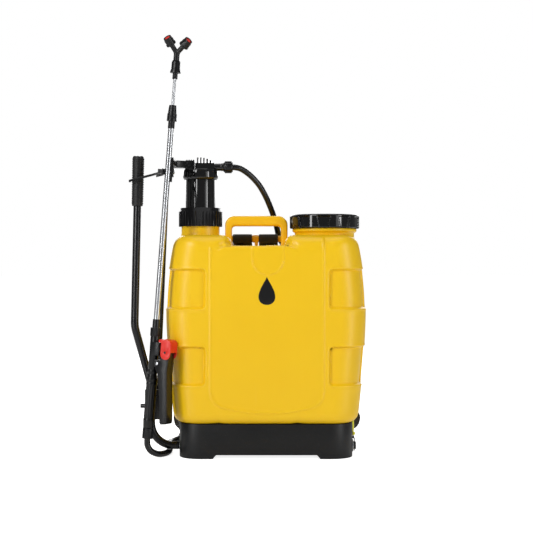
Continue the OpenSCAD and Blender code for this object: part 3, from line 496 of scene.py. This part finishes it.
def tank_skin(inset, scale):
    """A closed grid drawn onto the tank's surface, inset mm inside it. The grid is finer where the
    surface has lines, unless scale makes it coarse."""
    coarse = scale > 1.5
    fine = [] if coarse else [(-112, -94, 1.3), (-34, 42, 1.2), (94, 117, 1.3)]
    xs = spaced(-132.5, 132.5, 2.5 * scale, fine + [(-86, -58, 1.3 * scale), (28, 58, 1.3 * scale)])
    ys = spaced(-44.5, 44.5, 2.6 * scale, [] if coarse else
                [(-25, -13, 1.4), (-3, 3, 0.6), (13, 25, 1.4)])
    zs = spaced(TANK_LOW + 5, 392, 2.6 * scale, [] if coarse else
                [(80, 104, 1.4), (128, 136, 1.3), (196, 204, 1.3), (264, 272, 1.3), (324, 392, 1.3)])
    arcs = np.radians(np.linspace(0, 45, max(4, int(18 / scale))))[1:]

    def outline(w):
        """Front columns, left to right, and right-hand columns, front to back, at a half-width."""
        flat = w - CORNER
        near = np.where(np.abs(xs) <= 104, xs,
                        np.sign(xs) * (104 + (np.abs(xs) - 104) * (flat - 104) / 28.5))
        cut = TANK_DEPTH - CORNER
        arc_r = np.stack([flat + CORNER * np.sin(arcs), -cut - CORNER * np.cos(arcs)], 1)
        arc_l = arc_r[::-1] * (-1, 1)
        front = np.vstack([arc_l, np.stack([near, np.full_like(near, -TANK_DEPTH)], 1), arc_r])
        turn = arcs[::-1][1:]
        up = np.stack([flat + CORNER * np.cos(turn), -cut - CORNER * np.sin(turn)], 1)
        side = np.vstack([front[-1:], up, np.stack([np.full_like(ys, w), ys], 1),
                          (up * (1, -1))[::-1], front[-1:] * (1, -1)])
        return front, side

    def crest(x):
        """Height of the top edge over a place on the front."""
        rise = np.clip(np.maximum(LEFT_INNER - x, x - RIGHT_INNER), 0, 20)
        return 378 + 13 * np.sqrt(np.maximum(1 - (1 - rise / 20) ** 2, 0))

    def level(z, x):
        top = np.where(np.abs(x - SADDLE_X) < 90, crest(x), 391)
        return np.where(z < 330, z, 330 + (z - 330) * (top - 330) / 62)

    rows = [outline(float(half_width(z))) for z in zs]
    front = np.array([np.column_stack([f, level(z, f[:, 0])]) for z, (f, s) in zip(zs, rows)])
    side = np.array([np.column_stack([s, level(z, s[:, 0])]) for z, (f, s) in zip(zs, rows)])
    grids = [front, side, (front * (1, -1, 1))[:, ::-1], (side * (-1, 1, 1))[:, ::-1]]
    for row, way in ((-1, 1), (0, -1)):
        near, right = front[row], side[row]
        far, left = near * (1, -1, 1), right * (-1, 1, 1)
        u = np.linspace(0, 1, len(near))[:, None, None]
        v = np.linspace(0, 1, len(right))[None, :, None]
        hold_l, hold_r = 1 - step(0, 0.22, u), step(0.78, 1, u)
        base = near[:, None] * (1 - v) + far[:, None] * v
        cap = (base + hold_l * (left[None] - ((1 - v) * near[0] + v * far[0]))
               + hold_r * (right[None] - ((1 - v) * near[-1] + v * far[-1])))
        inner = cap[1:-1, 1:-1]
        inner[..., 2] = (TANK_HIGH - 2 if way > 0 else TANK_LOW)
        if way > 0:
            inner[..., 2] = np.where(np.abs(inner[..., 0] - SADDLE_X) < 90,
                                     np.minimum(crest(inner[..., 0]) + 2, 399), 399)
        grids.append(cap if way > 0 else cap[:, ::-1])
    verts, faces, start = [], [], 0
    for g in grids:
        n, m = g.shape[:2]
        index = start + np.arange(n * m).reshape(n, m)
        a, b, c, d = index[:-1, :-1], index[:-1, 1:], index[1:, 1:], index[1:, :-1]
        faces.append(np.stack([a, b, c, d], -1).reshape(-1, 4))
        verts.append(g.reshape(-1, 3))
        start += n * m
    p = np.vstack(verts)
    faces = np.vstack(faces)
    for _ in range(9):
        f = tank_field(p) + inset
        grad = np.zeros_like(p)
        for axis in range(3):
            nudge = np.zeros(3)
            nudge[axis] = NUDGE
            grad[:, axis] = (tank_field(p + nudge) - tank_field(p - nudge)) / (2 * NUDGE)
        size = np.maximum((grad ** 2).sum(1), 0.2)
        move = (f / size)[:, None] * grad
        far = np.linalg.norm(move, axis=1)
        p = p - move * np.minimum(1, 8 / np.maximum(far, 1e-9))[:, None]
    # join the grids' shared edges
    _, first, same = np.unique(np.round(p, 3), axis=0, return_index=True, return_inverse=True)
    return p[first], same.reshape(-1)[faces]


def plain_object(name, verts, faces):
    """A closed solid whose faces all look outwards."""
    mesh = bpy.data.meshes.new(name)
    mesh.from_pydata([tuple(v) for v in verts], [], [tuple(int(i) for i in f) for f in faces])
    work = bmesh.new()
    work.from_mesh(mesh)
    bmesh.ops.recalc_face_normals(work, faces=work.faces)
    if work.calc_volume(signed=True) < 0:
        bmesh.ops.reverse_faces(work, faces=work.faces)
    work.to_mesh(mesh)
    work.free()
    made = bpy.data.objects.new(name, mesh)
    scene.collection.objects.link(made)
    return made


def combine(target, tool, operation):
    """Joins or cuts with another solid, and removes that solid."""
    change = target.modifiers.new("combine", "BOOLEAN")
    change.operation = operation
    change.solver = "MANIFOLD"
    change.object = tool
    evaluated = target.evaluated_get(bpy.context.evaluated_depsgraph_get())
    mesh = bpy.data.meshes.new_from_object(evaluated)
    target.modifiers.clear()
    target.data = mesh
    bpy.data.objects.remove(tool)


outer = tank_skin(0, 1.0)
inner = tank_skin(WALL, 2.4)
tank = plain_object("tank_moulding", outer[0] * MM, outer[1])
combine(tank, plain_object("tank_hollow", inner[0] * MM, inner[1]), "DIFFERENCE")
PUMP_NECK = [(PUMP_BORE, 388), (35.8, 388), (35.8, 400.2), (35.6, 402), (35.2, 403.4), (35, 405),
             (35, 439), (34, 440), (PUMP_BORE, 440)]
FILLER_NECK = [(FILLER_BORE, 374), (54.6, 374), (54.6, 403.8), (55.2, 405.0), (57.4, 406.2),
               (58.9, 407.4), (59.2, 408.6), (59.2, 410.6), (58.8, 411.8), (57.6, 412.6),
               (55, 413), (55, 429),
               (54.2, 430), (FILLER_BORE, 430)]
for profile, x in ((PUMP_NECK, PUMP_X), (FILLER_NECK, FILLER_X)):
    combine(tank, plain_object("neck", *lathe(profile[::-1], 128, (x, 0))), "UNION")
for r, x in ((PUMP_BORE, PUMP_X), (FILLER_BORE, FILLER_X)):
    hole = [(r * math.cos(a), r * math.sin(a))
            for a in np.linspace(0, 2 * math.pi, 128, endpoint=False)]
    rings = np.array([[(x + a, b, z) for a, b in hole] for z in (370.0, 450.0)]) * MM
    combine(tank, plain_object("hole", *loft(rings)), "DIFFERENCE")
tank.data.shade_smooth()
tank.data.set_sharp_from_angle(angle=math.radians(40))
finish_piece(tank, "yellow_plastic", "tank", ["tank_shell"])


# ---------------------------------------------------------------- straps

STRAP_RUN = [
    (0, 45 + 7.8 * math.cos(math.radians(a)), 395.3 + 7.8 * math.sin(math.radians(a)), 0)
    for a in np.linspace(255, 5, 10)] + [
    (0, 55, 391.5, 0), (0, 60, 387.8, 0), (0, 70, 385.5, 0), (0, 84, 383.6, 0), (0, 92, 382.4, 0),
    (0, 97.5, 377, 0), (0.01, 101, 368, 0), (0.02, 106, 353, 0), (0.05, 112, 330, 0),
    (0.12, 118, 290, 2), (0.22, 121, 250, 4), (0.32, 122, 214, 7), (0.35, 122, 204, 8),
    (0.38, 122, 194, 9), (0.5, 121, 160, 14), (0.68, 117, 115, 24), (0.88, 109, 84, 36),
    (1.02, 100, 67, 48), (1.08, 89, 53, 60), (1.065, 77, 41, 72), (1.015, 66, 32, 82),
    (0.998, 62.4, 25, 89), (0.998, 62, 17.6, 90)]
STRAP_W, TAIL_W, STRAP_T = 36.0, 24.5, 1.8
STRAP_CHANGE = 22  # the point of the run where the wide tape ends, inside its adjuster
STRAP_STEPS = 6    # steps of the curve between two points of the run


def strap(name, x0, side):
    """Webbing from the bar to the base's loop, with its adjuster, its loop there and its stitches."""
    run = spline(STRAP_RUN, STRAP_STEPS)
    path = np.column_stack([x0 + (side * 160 - x0) * run[:, 0], run[:, 1], run[:, 2]])
    turn = np.radians(run[:, 3])
    wide = np.column_stack([np.cos(turn), -side * np.sin(turn), np.zeros(len(run))])
    along = np.gradient(path, axis=0)
    along /= np.linalg.norm(along, axis=1)[:, None]
    wide = wide - along * (wide * along).sum(1)[:, None]
    wide /= np.linalg.norm(wide, axis=1)[:, None]
    out = np.cross(along, wide)
    done = np.concatenate([[0], np.cumsum(np.linalg.norm(np.diff(path, axis=0), axis=1))])
    # half-profile of the tape: full in the middle, thin at the two woven edges
    u = np.linspace(-1, 1, 15)
    thick = STRAP_T / 2 * np.where(np.abs(u) > 0.86, 0.72, 1.0) * np.where(np.abs(u) > 0.99, 0.6, 1.0)
    section = list(zip(u, thick)) + list(zip(u[::-1], -thick[::-1]))
    k = STRAP_STEPS * STRAP_CHANGE
    half = np.where(np.arange(len(path)) < k, STRAP_W, TAIL_W) / 2
    rings, uvs = [], []
    for i in range(len(path)):
        rings.append([path[i] + a * half[i] * wide[i] + t * out[i] for a, t in section])
        uvs += [(a * half[i] * MM, done[i] * MM) for a, t in section]
    verts, faces = loft(np.array(rings) * MM)
    made = shown(name + "_webbing", verts, faces, "webbing", "tank", [name], uvs=uvs)
    face = out * np.sign(out[k][1])
    slider(name.split("_")[0] + "_adjuster", path[k] + 2.6 * face[k], wide[k], along[k], face[k])
    # the loop of tape over the adjuster's middle bar
    loop, loop_uv = [], []
    for i, s in enumerate(np.linspace(-9.0, 9.0, 25)):
        rise = 1.0 + 4.4 * math.exp(-((s + 1.0) / 3.6) ** 2) - 0.7 * (abs(s) / 9.0) ** 4
        centre = path[k] + along[k] * s + face[k] * rise
        loop.append([centre + a * 17.2 * wide[k] + c * 0.8 * face[k] for a, c in
                     list(zip(u, np.full(15, 1.0))) + list(zip(u[::-1], np.full(15, -1.0)))])
        loop_uv += [(a * 17.2 * MM, s * MM) for a in list(u) + list(u[::-1])]
    loop_verts, loop_faces = loft(np.array(loop) * MM)
    looped = shown(name + "_loop", loop_verts, loop_faces, "webbing", "tank", uvs=loop_uv)
    rows = []
    for step_at in (70, 76, 94, 100):
        p, w, o = path[step_at], wide[step_at], out[step_at]
        o = o * np.sign(o[2] + o[1])
        rows.append((p - w * 14 + o * 0.9, p + w * 14 + o * 0.9, o))
    sewn = stitch_rows(name + "_stitches", rows, "tank")


def rounded_bar(ends, across, thick, wide, out):
    """A bar with soft edges between two points, wide square to its length and to `out`, and thick along
    `out`. `across` is not used.
    """
    ends = np.array(ends, float)
    along = ends[1] - ends[0]
    length = np.linalg.norm(along)
    along = along / length
    side = np.cross(along, out)
    turn = np.linspace(0, 2 * math.pi, 28, endpoint=False)
    power = 2 / 4.0
    u = np.sign(np.cos(turn)) * np.abs(np.cos(turn)) ** power
    v = np.sign(np.sin(turn)) * np.abs(np.sin(turn)) ** power
    rings = []
    outline = np.outer(u, side) * wide / 2 + np.outer(v, out) * thick / 2
    for s, k in ((0, 0.72), (0.35, 0.9), (1.0, 1.0),
                 (length - 1.0, 1.0), (length - 0.35, 0.9), (length, 0.72)):
        rings.append(ends[0] + along * s + k * outline)
    return loft(np.array(rings) * MM)


def slider(name, at, wide, along, out):
    """A ladder lock: a frame with three cross bars, the last one the widest."""
    def bar(a, b, width, thick):
        ends = [at + wide * p[0] + along * p[1] + out * p[2] for p in (a, b)]
        return plain_object("bar", *rounded_bar(ends, wide, thick, width, out))

    frame_piece = bar((-20.6, -13.4, 0), (-20.6, 13.4, 0), 4.6, 3.6)
    for a, b, width, thick in (((20.6, -13.4, 0), (20.6, 13.4, 0), 4.6, 3.7),
                               ((-22, -11.6, 0.1), (22, -11.6, 0.1), 4.4, 3.3),
                               ((-22, -1.0, 0.3), (22, -1.0, 0.3), 3.6, 3.2),
                               ((-22, 11.2, 0.2), (22, 11.2, 0.2), 5.2, 3.4)):
        combine(frame_piece, bar(a, b, width, thick), "UNION")
    frame_piece.name = name
    frame_piece.data.shade_smooth()
    frame_piece.data.set_sharp_from_angle(angle=math.radians(45))
    finish_piece(frame_piece, "black_plastic", "tank", ["strap_adjusters"])


def stitch_rows(name, rows, body):
    """Rows of thread: rows holds (from, to, out) with points in mm."""
    verts, faces = [], []
    for start, end, out in rows:
        start, end = np.array(start, float), np.array(end, float)
        count = max(2, int(np.linalg.norm(end - start) / 3.4))
        for k in range(count):
            a = start + (end - start) * (k + 0.14) / count
            b = start + (end - start) * (k + 0.86) / count
            steps = np.linspace(0, 1, 5)[:, None]
            line = a + (b - a) * steps + out * (0.28 * np.sin(math.pi * steps))
            more, made = tube(line * MM, np.array([0.15, 0.32, 0.36, 0.32, 0.15]) * MM, 6)
            faces += [tuple(i + len(verts) for i in f) for f in made]
            verts += list(more)
    return shown(name, np.array(verts), faces, "webbing", body, smooth=60,
                 uvs=np.zeros((len(verts), 2)))


for name, x0, side in (("left_strap", -44.5, -1), ("right_strap", 4.5, 1)):
    strap(name, x0, side)


# ---------------------------------------------------------------- filler lid

def filler_lid():
    """Ten trapezoid hollows round the rim, a rounded shoulder and a shallow dish in the top."""
    profile = [(60.5, 413), (62.9, 413), (63.7, 413.6)]
    profile += [(64, z) for z in np.linspace(414.5, 432.5, 13)]
    profile += [(60.6 + 3.4 * math.cos(a), 434.6 + 3.4 * math.sin(a))
                for a in np.radians(np.arange(0, 91, 10))]
    profile += [(57, 438), (55.5, 437.4), (54, 437.2), (40, 437.3), (12, 437.6), (9, 438), (3.1, 438),
                (3.1, 434.4), (60.5, 434.4), (60.5, 424)]

    def scallop(a, r, z):
        if r < 61 or z < 413.2:
            return r, z
        off = (math.degrees(a) + 90 + 39.75 + 18) % 36 - 18
        half = 8.2 + 3.6 * (z - 413) / 20
        inside = min((half - abs(off)) / 1.3, (434.5 - z) / 1.6)
        return r - 2.4 * float(step(0, 1, np.array(inside))), z

    verts, faces = lathe(profile, 480, (FILLER_X, 0), scallop)
    shown("lid_cover", verts, faces, "gloss_black_plastic", "lid", ["filler_lid"], 40)


filler_lid()


# ---------------------------------------------------------------- carrying handle

def carry_handle():
    """A squared hoop with soft edges, its two feet flared where they meet the tank."""
    left, right, leg, bar, top, outer_r, inner_r = -75.4, 39.8, 12.5, 19.0, 436.3, 17.0, 6.5

    def edge(x0, x1, z, r):
        rise = [(x0, h) for h in np.linspace(379, z - r, 10)]
        arc = np.radians(np.arange(9, 90, 9))
        turn = [(x0 + r - r * math.cos(a), z - r + r * math.sin(a)) for a in arc]
        span = [(x, z) for x in np.linspace(x0 + r, x1 - r, 14)]
        back = [(x1 - r + r * math.sin(a), z - r + r * math.cos(a)) for a in arc]
        return np.array(rise + turn + span + back + [(x1, h) for h in np.linspace(z - r, 379, 10)])

    outside = edge(left, right, top, outer_r)
    inside = edge(left + leg, right - leg, top - bar, inner_r)
    rings = []
    for (xo, zo), (xi, zi) in zip(outside, inside):
        middle, reach = ((xo + xi) / 2, (zo + zi) / 2), (np.array((xo, zo)) - (xi, zi)) / 2
        foot = 1 + 0.22 * max(0, (388 - (zo + zi) / 2) / 9) ** 2
        half = float(np.linalg.norm(reach))
        way = reach / half
        ring = []
        for a in np.linspace(0, 2 * math.pi, 40, endpoint=False):
            c, s = math.cos(a), math.sin(a)
            power = 2 / 4.6
            u = math.copysign(abs(c) ** power, c) * half * foot
            v = math.copysign(abs(s) ** power, s) * min(13.0, 12.6 * (0.97 + 0.03 * foot))
            ring.append((middle[0] + way[0] * u, v, middle[1] + way[1] * u))
        rings.append(ring)
    verts, faces = loft(np.array(rings) * MM)
    shown("handle_moulding", verts, faces, "orange_plastic", "tank", ["carry_handle"], 50)


carry_handle()


# ---------------------------------------------------------------- lever grip

LEVER_TOP, LEVER_NEXT = np.array((-232.2, -35.0, 540.0)), np.array((-239.0, -35.0, 234.0))


def lever_grip():
    """A rubber sleeve with close ridges, cut away in shallow waves round its closed top."""
    profile = [(0.05, -3), (7.2, -3), (9.4, -2.4), (10.3, -1.0)]
    for i in range(20):
        z = 0.6 + 4.2 * i
        r = 10.35 - 0.02 * i
        profile += [(r, z), (r + 0.55, z + 0.5), (r + 0.65, z + 1.3), (r + 0.55, z + 2.1), (r, z + 2.6),
                    (r - 0.1, z + 3.4)]
    profile += [(9.8, 85.5), (9.6, 86.6), (9.0, 87), (7.0, 87), (7.0, 0), (0.05, 0)]

    def waves(a, r, z):
        if z < 0 and r > 6:
            z += 0.9 * math.cos(6 * a)
        if r > 9 and 0 < z < 84:
            r += 0.12 * math.cos(12 * a)
        return r, z

    verts, faces = lathe(profile, 72, (0, 0), waves)
    down = LEVER_NEXT - LEVER_TOP
    down /= np.linalg.norm(down)
    across = np.array((0, 1, 0))
    side = np.cross(across, down)
    verts = LEVER_TOP * MM + verts[:, :1] * side + verts[:, 1:2] * across + verts[:, 2:] * down
    shown("lever_grip_sleeve", verts, faces, "grip_rubber", "lever", ["lever_grip"], 40)


lever_grip()


# ---------------------------------------------------------------- wand

WAND_AT, LEAN = np.array((-210.1, -84.0, 47.5)), math.radians(4.37)


def on_wand(verts):
    """From the wand's own axes, in metres, to the world."""
    x, y, z = np.asarray(verts).T
    return WAND_AT * MM + np.column_stack([x * math.cos(LEAN) + z * math.sin(LEAN), y,
                                           z * math.cos(LEAN) - x * math.sin(LEAN)])


def round_tube(name, outer, inner, low, high, body, node):
    """A drawn tube with rolled ends."""
    edge = min(0.35, (outer - inner) / 2.2)
    profile = [(inner, low + edge), (inner + edge, low), (outer - edge, low), (outer, low + edge)]
    profile += [(outer, z) for z in np.linspace(low + 4, high - 4, 24)]
    profile += [(outer, high - edge), (outer - edge, high), (inner + edge, high), (inner, high - edge)]
    verts, faces = lathe(profile, 64)
    shown(name, on_wand(verts), faces, "stainless_steel", body, [node], 50)


round_tube("lance_outer", 5.0, 4.2, 184.5, 548.0, "wand", "lance_tube")
round_tube("lance_inner", 2.7, 2.1, 296.0, 647.5, "extension", "inner_tube")


def handle_sleeve():
    """The handle's tube: a fluted middle between plain rings, a stepped collar and a hose stub."""
    profile = [(4.0, -6), (6.2, -6), (6.8, -5.4), (6.8, 8), (7.6, 9), (9.2, 9.4), (9.4, 12),
               (9.9, 20.5), (10, 21.5), (10, 24.6), (9.7, 25.2), (9.5, 26.2)]
    profile += [(9.5, z) for z in np.linspace(27, 84, 20)]
    profile += [(9.5, 85), (9.7, 85.8), (10, 86.4), (10, 89.4), (9.6, 90), (9.6, 91.2), (10, 91.8),
                (10, 98.2), (9.6, 99), (8.6, 99.2), (8.6, 104), (8.3, 104.5), (8.3, 106), (8.6, 106.5),
                (8.6, 112.4), (8.2, 113), (4.0, 113), (4.0, 100), (6.5, 99), (6.5, 17), (4.0, 16)]

    def flutes(a, r, z):
        if 27 < z < 84.5 and r > 9:
            r -= 0.45 * max(0.0, math.cos(12 * a)) ** 0.6
        return r, z

    verts, faces = lathe(profile, 144, wave=flutes)
    shown("handle_sleeve", on_wand(verts), faces, "black_plastic", "wand", ["handle_tube"], 40)


handle_sleeve()


# ---------------------------------------------------------------- a plain drop on the front

def on_front(x, z, out):
    """Points on the tank's front, out mm proud of it."""
    y = np.full_like(x, -TANK_DEPTH)
    for _ in range(8):
        p = np.column_stack([x, y, z])
        slope = (tank_field(p + (0, NUDGE, 0)) - tank_field(p - (0, NUDGE, 0))) / (2 * NUDGE)
        y = y - tank_field(p) / np.where(np.abs(slope) < 0.2, -1, slope)
    return np.column_stack([x, y - out, z])


def drop_mark():
    """A thin plain water drop on the front, in place of any mark."""
    middle, height, width = (1.6, 300.0), 50.0, 33.0
    turn = np.linspace(0, 2 * math.pi, 96, endpoint=False)
    shape = np.column_stack([width / 2 * np.sin(turn) * np.abs(np.sin(turn / 2)) ** 1.5 * 1.28,
                             height / 2 * np.cos(turn)])
    layers = []
    for share, out in ((0.02, 0.16), (0.3, 0.16), (0.65, 0.16), (0.985, 0.16), (1.0, 0.10), (1.0, -0.5),
                       (0.65, -0.5), (0.3, -0.5), (0.02, -0.5)):
        xz = shape * share + middle
        layers.append(on_front(xz[:, 0], xz[:, 1], out))
    verts, faces = loft(np.array(layers) * MM)
    shown("drop_mark", verts, faces, "black_plastic", "tank", (), 40)


drop_mark()


# ---------------------------------------------------------------- the CAD nodes' own finish

SHARP = 32.0      # degrees: steeper edges are rounded
ROUND = 0.0004    # metres
for name, made in NODES.items():
    if made.hide_render:
        continue
    slot = made.material_slots[0].material.name.split(".")[0]
    made.data.materials.clear()
    made.data.materials.append(MATERIALS[slot])
    made.data.shade_smooth()
    weld = made.modifiers.new("weld", "WELD")
    weld.merge_threshold = 0.00001
    bevel = made.modifiers.new("bevel", "BEVEL")
    bevel.limit_method = "ANGLE"
    bevel.angle_limit = math.radians(SHARP)
    bevel.width = ROUND
    bevel.segments = 2
    bevel.use_clamp_overlap = True


# ---------------------------------------------------------------- floor, light

def lamp(name, at, size, power, toward):
    """A white rectangular lamp of size (width, height), turned towards a point."""
    data = bpy.data.lights.new(name, "AREA")
    data.shape = "RECTANGLE"
    data.size, data.size_y = size
    data.energy = power
    made = bpy.data.objects.new(name, data)
    scene.collection.objects.link(made)
    made.location = at
    made.rotation_euler = (Vector(toward) - Vector(at)).to_track_quat("-Z", "Y").to_euler()


lamp("key", (-1.5, -1.9, 1.9), (1.0, 1.0), 27, (0, 0, 0.3))
lamp("fill", (1.9, -1.7, 0.9), (1.0, 1.4), 5, (0, 0, 0.35))
lamp("top", (0, 0.1, 2.4), (1.8, 1.8), 11, (0, 0, 0.3))
lamp("strip_left", (-1.25, -1.25, 0.55), (0.20, 1.3), 7, (0, 0, 0.4))
lamp("strip_right", (1.3, -0.95, 0.55), (0.20, 1.3), 6, (0, 0, 0.4))
lamp("back", (0.0, 2.4, 1.3), (2.4, 1.2), 34, (0, 0, 0.35))

world = bpy.data.worlds.new("studio")
scene.world = world
world.use_nodes = True
tree = world.node_tree
back = tree.nodes["Background"]
back.inputs["Color"].default_value = (1, 1, 1, 1)
back.inputs["Strength"].default_value = 0.19
bright = tree.nodes.new("ShaderNodeBackground")
bright.inputs["Color"].default_value = (1, 1, 1, 1)
bright.inputs["Strength"].default_value = 1.0
ray = tree.nodes.new("ShaderNodeLightPath")
choose = tree.nodes.new("ShaderNodeMixShader")
tree.links.new(ray.outputs["Is Camera Ray"], choose.inputs[0])
tree.links.new(back.outputs[0], choose.inputs[1])
tree.links.new(bright.outputs[0], choose.inputs[2])
tree.links.new(choose.outputs[0], tree.nodes["World Output"].inputs[0])

FLOOR = 40.0  # half its side, so that its edge is out of every view
floor_mesh = bpy.data.meshes.new("floor")
floor_mesh.from_pydata([(-FLOOR, -FLOOR, 0), (FLOOR, -FLOOR, 0), (FLOOR, FLOOR, 0), (-FLOOR, FLOOR, 0)],
                       [], [(0, 1, 2, 3)])
floor = bpy.data.objects.new("floor", floor_mesh)
scene.collection.objects.link(floor)
paper = Shader("floor_paper")
grain = paper.noise(120.0, 4.0)
paper.set(base_color=paper.mix(grain, (0.80, 0.80, 0.80, 1), (0.84, 0.84, 0.84, 1)), roughness=0.9)
paper.put(paper.main.inputs["Emission Color"], (1, 1, 1, 1))
seen = paper.node("LightPath").outputs["Is Camera Ray"]
paper.put(paper.main.inputs["Emission Strength"], paper.ramp(seen, 0.0, 1.0, 0.10, 0.86))
floor_mesh.materials.append(paper.material)

scene.view_settings.view_transform = "Standard"
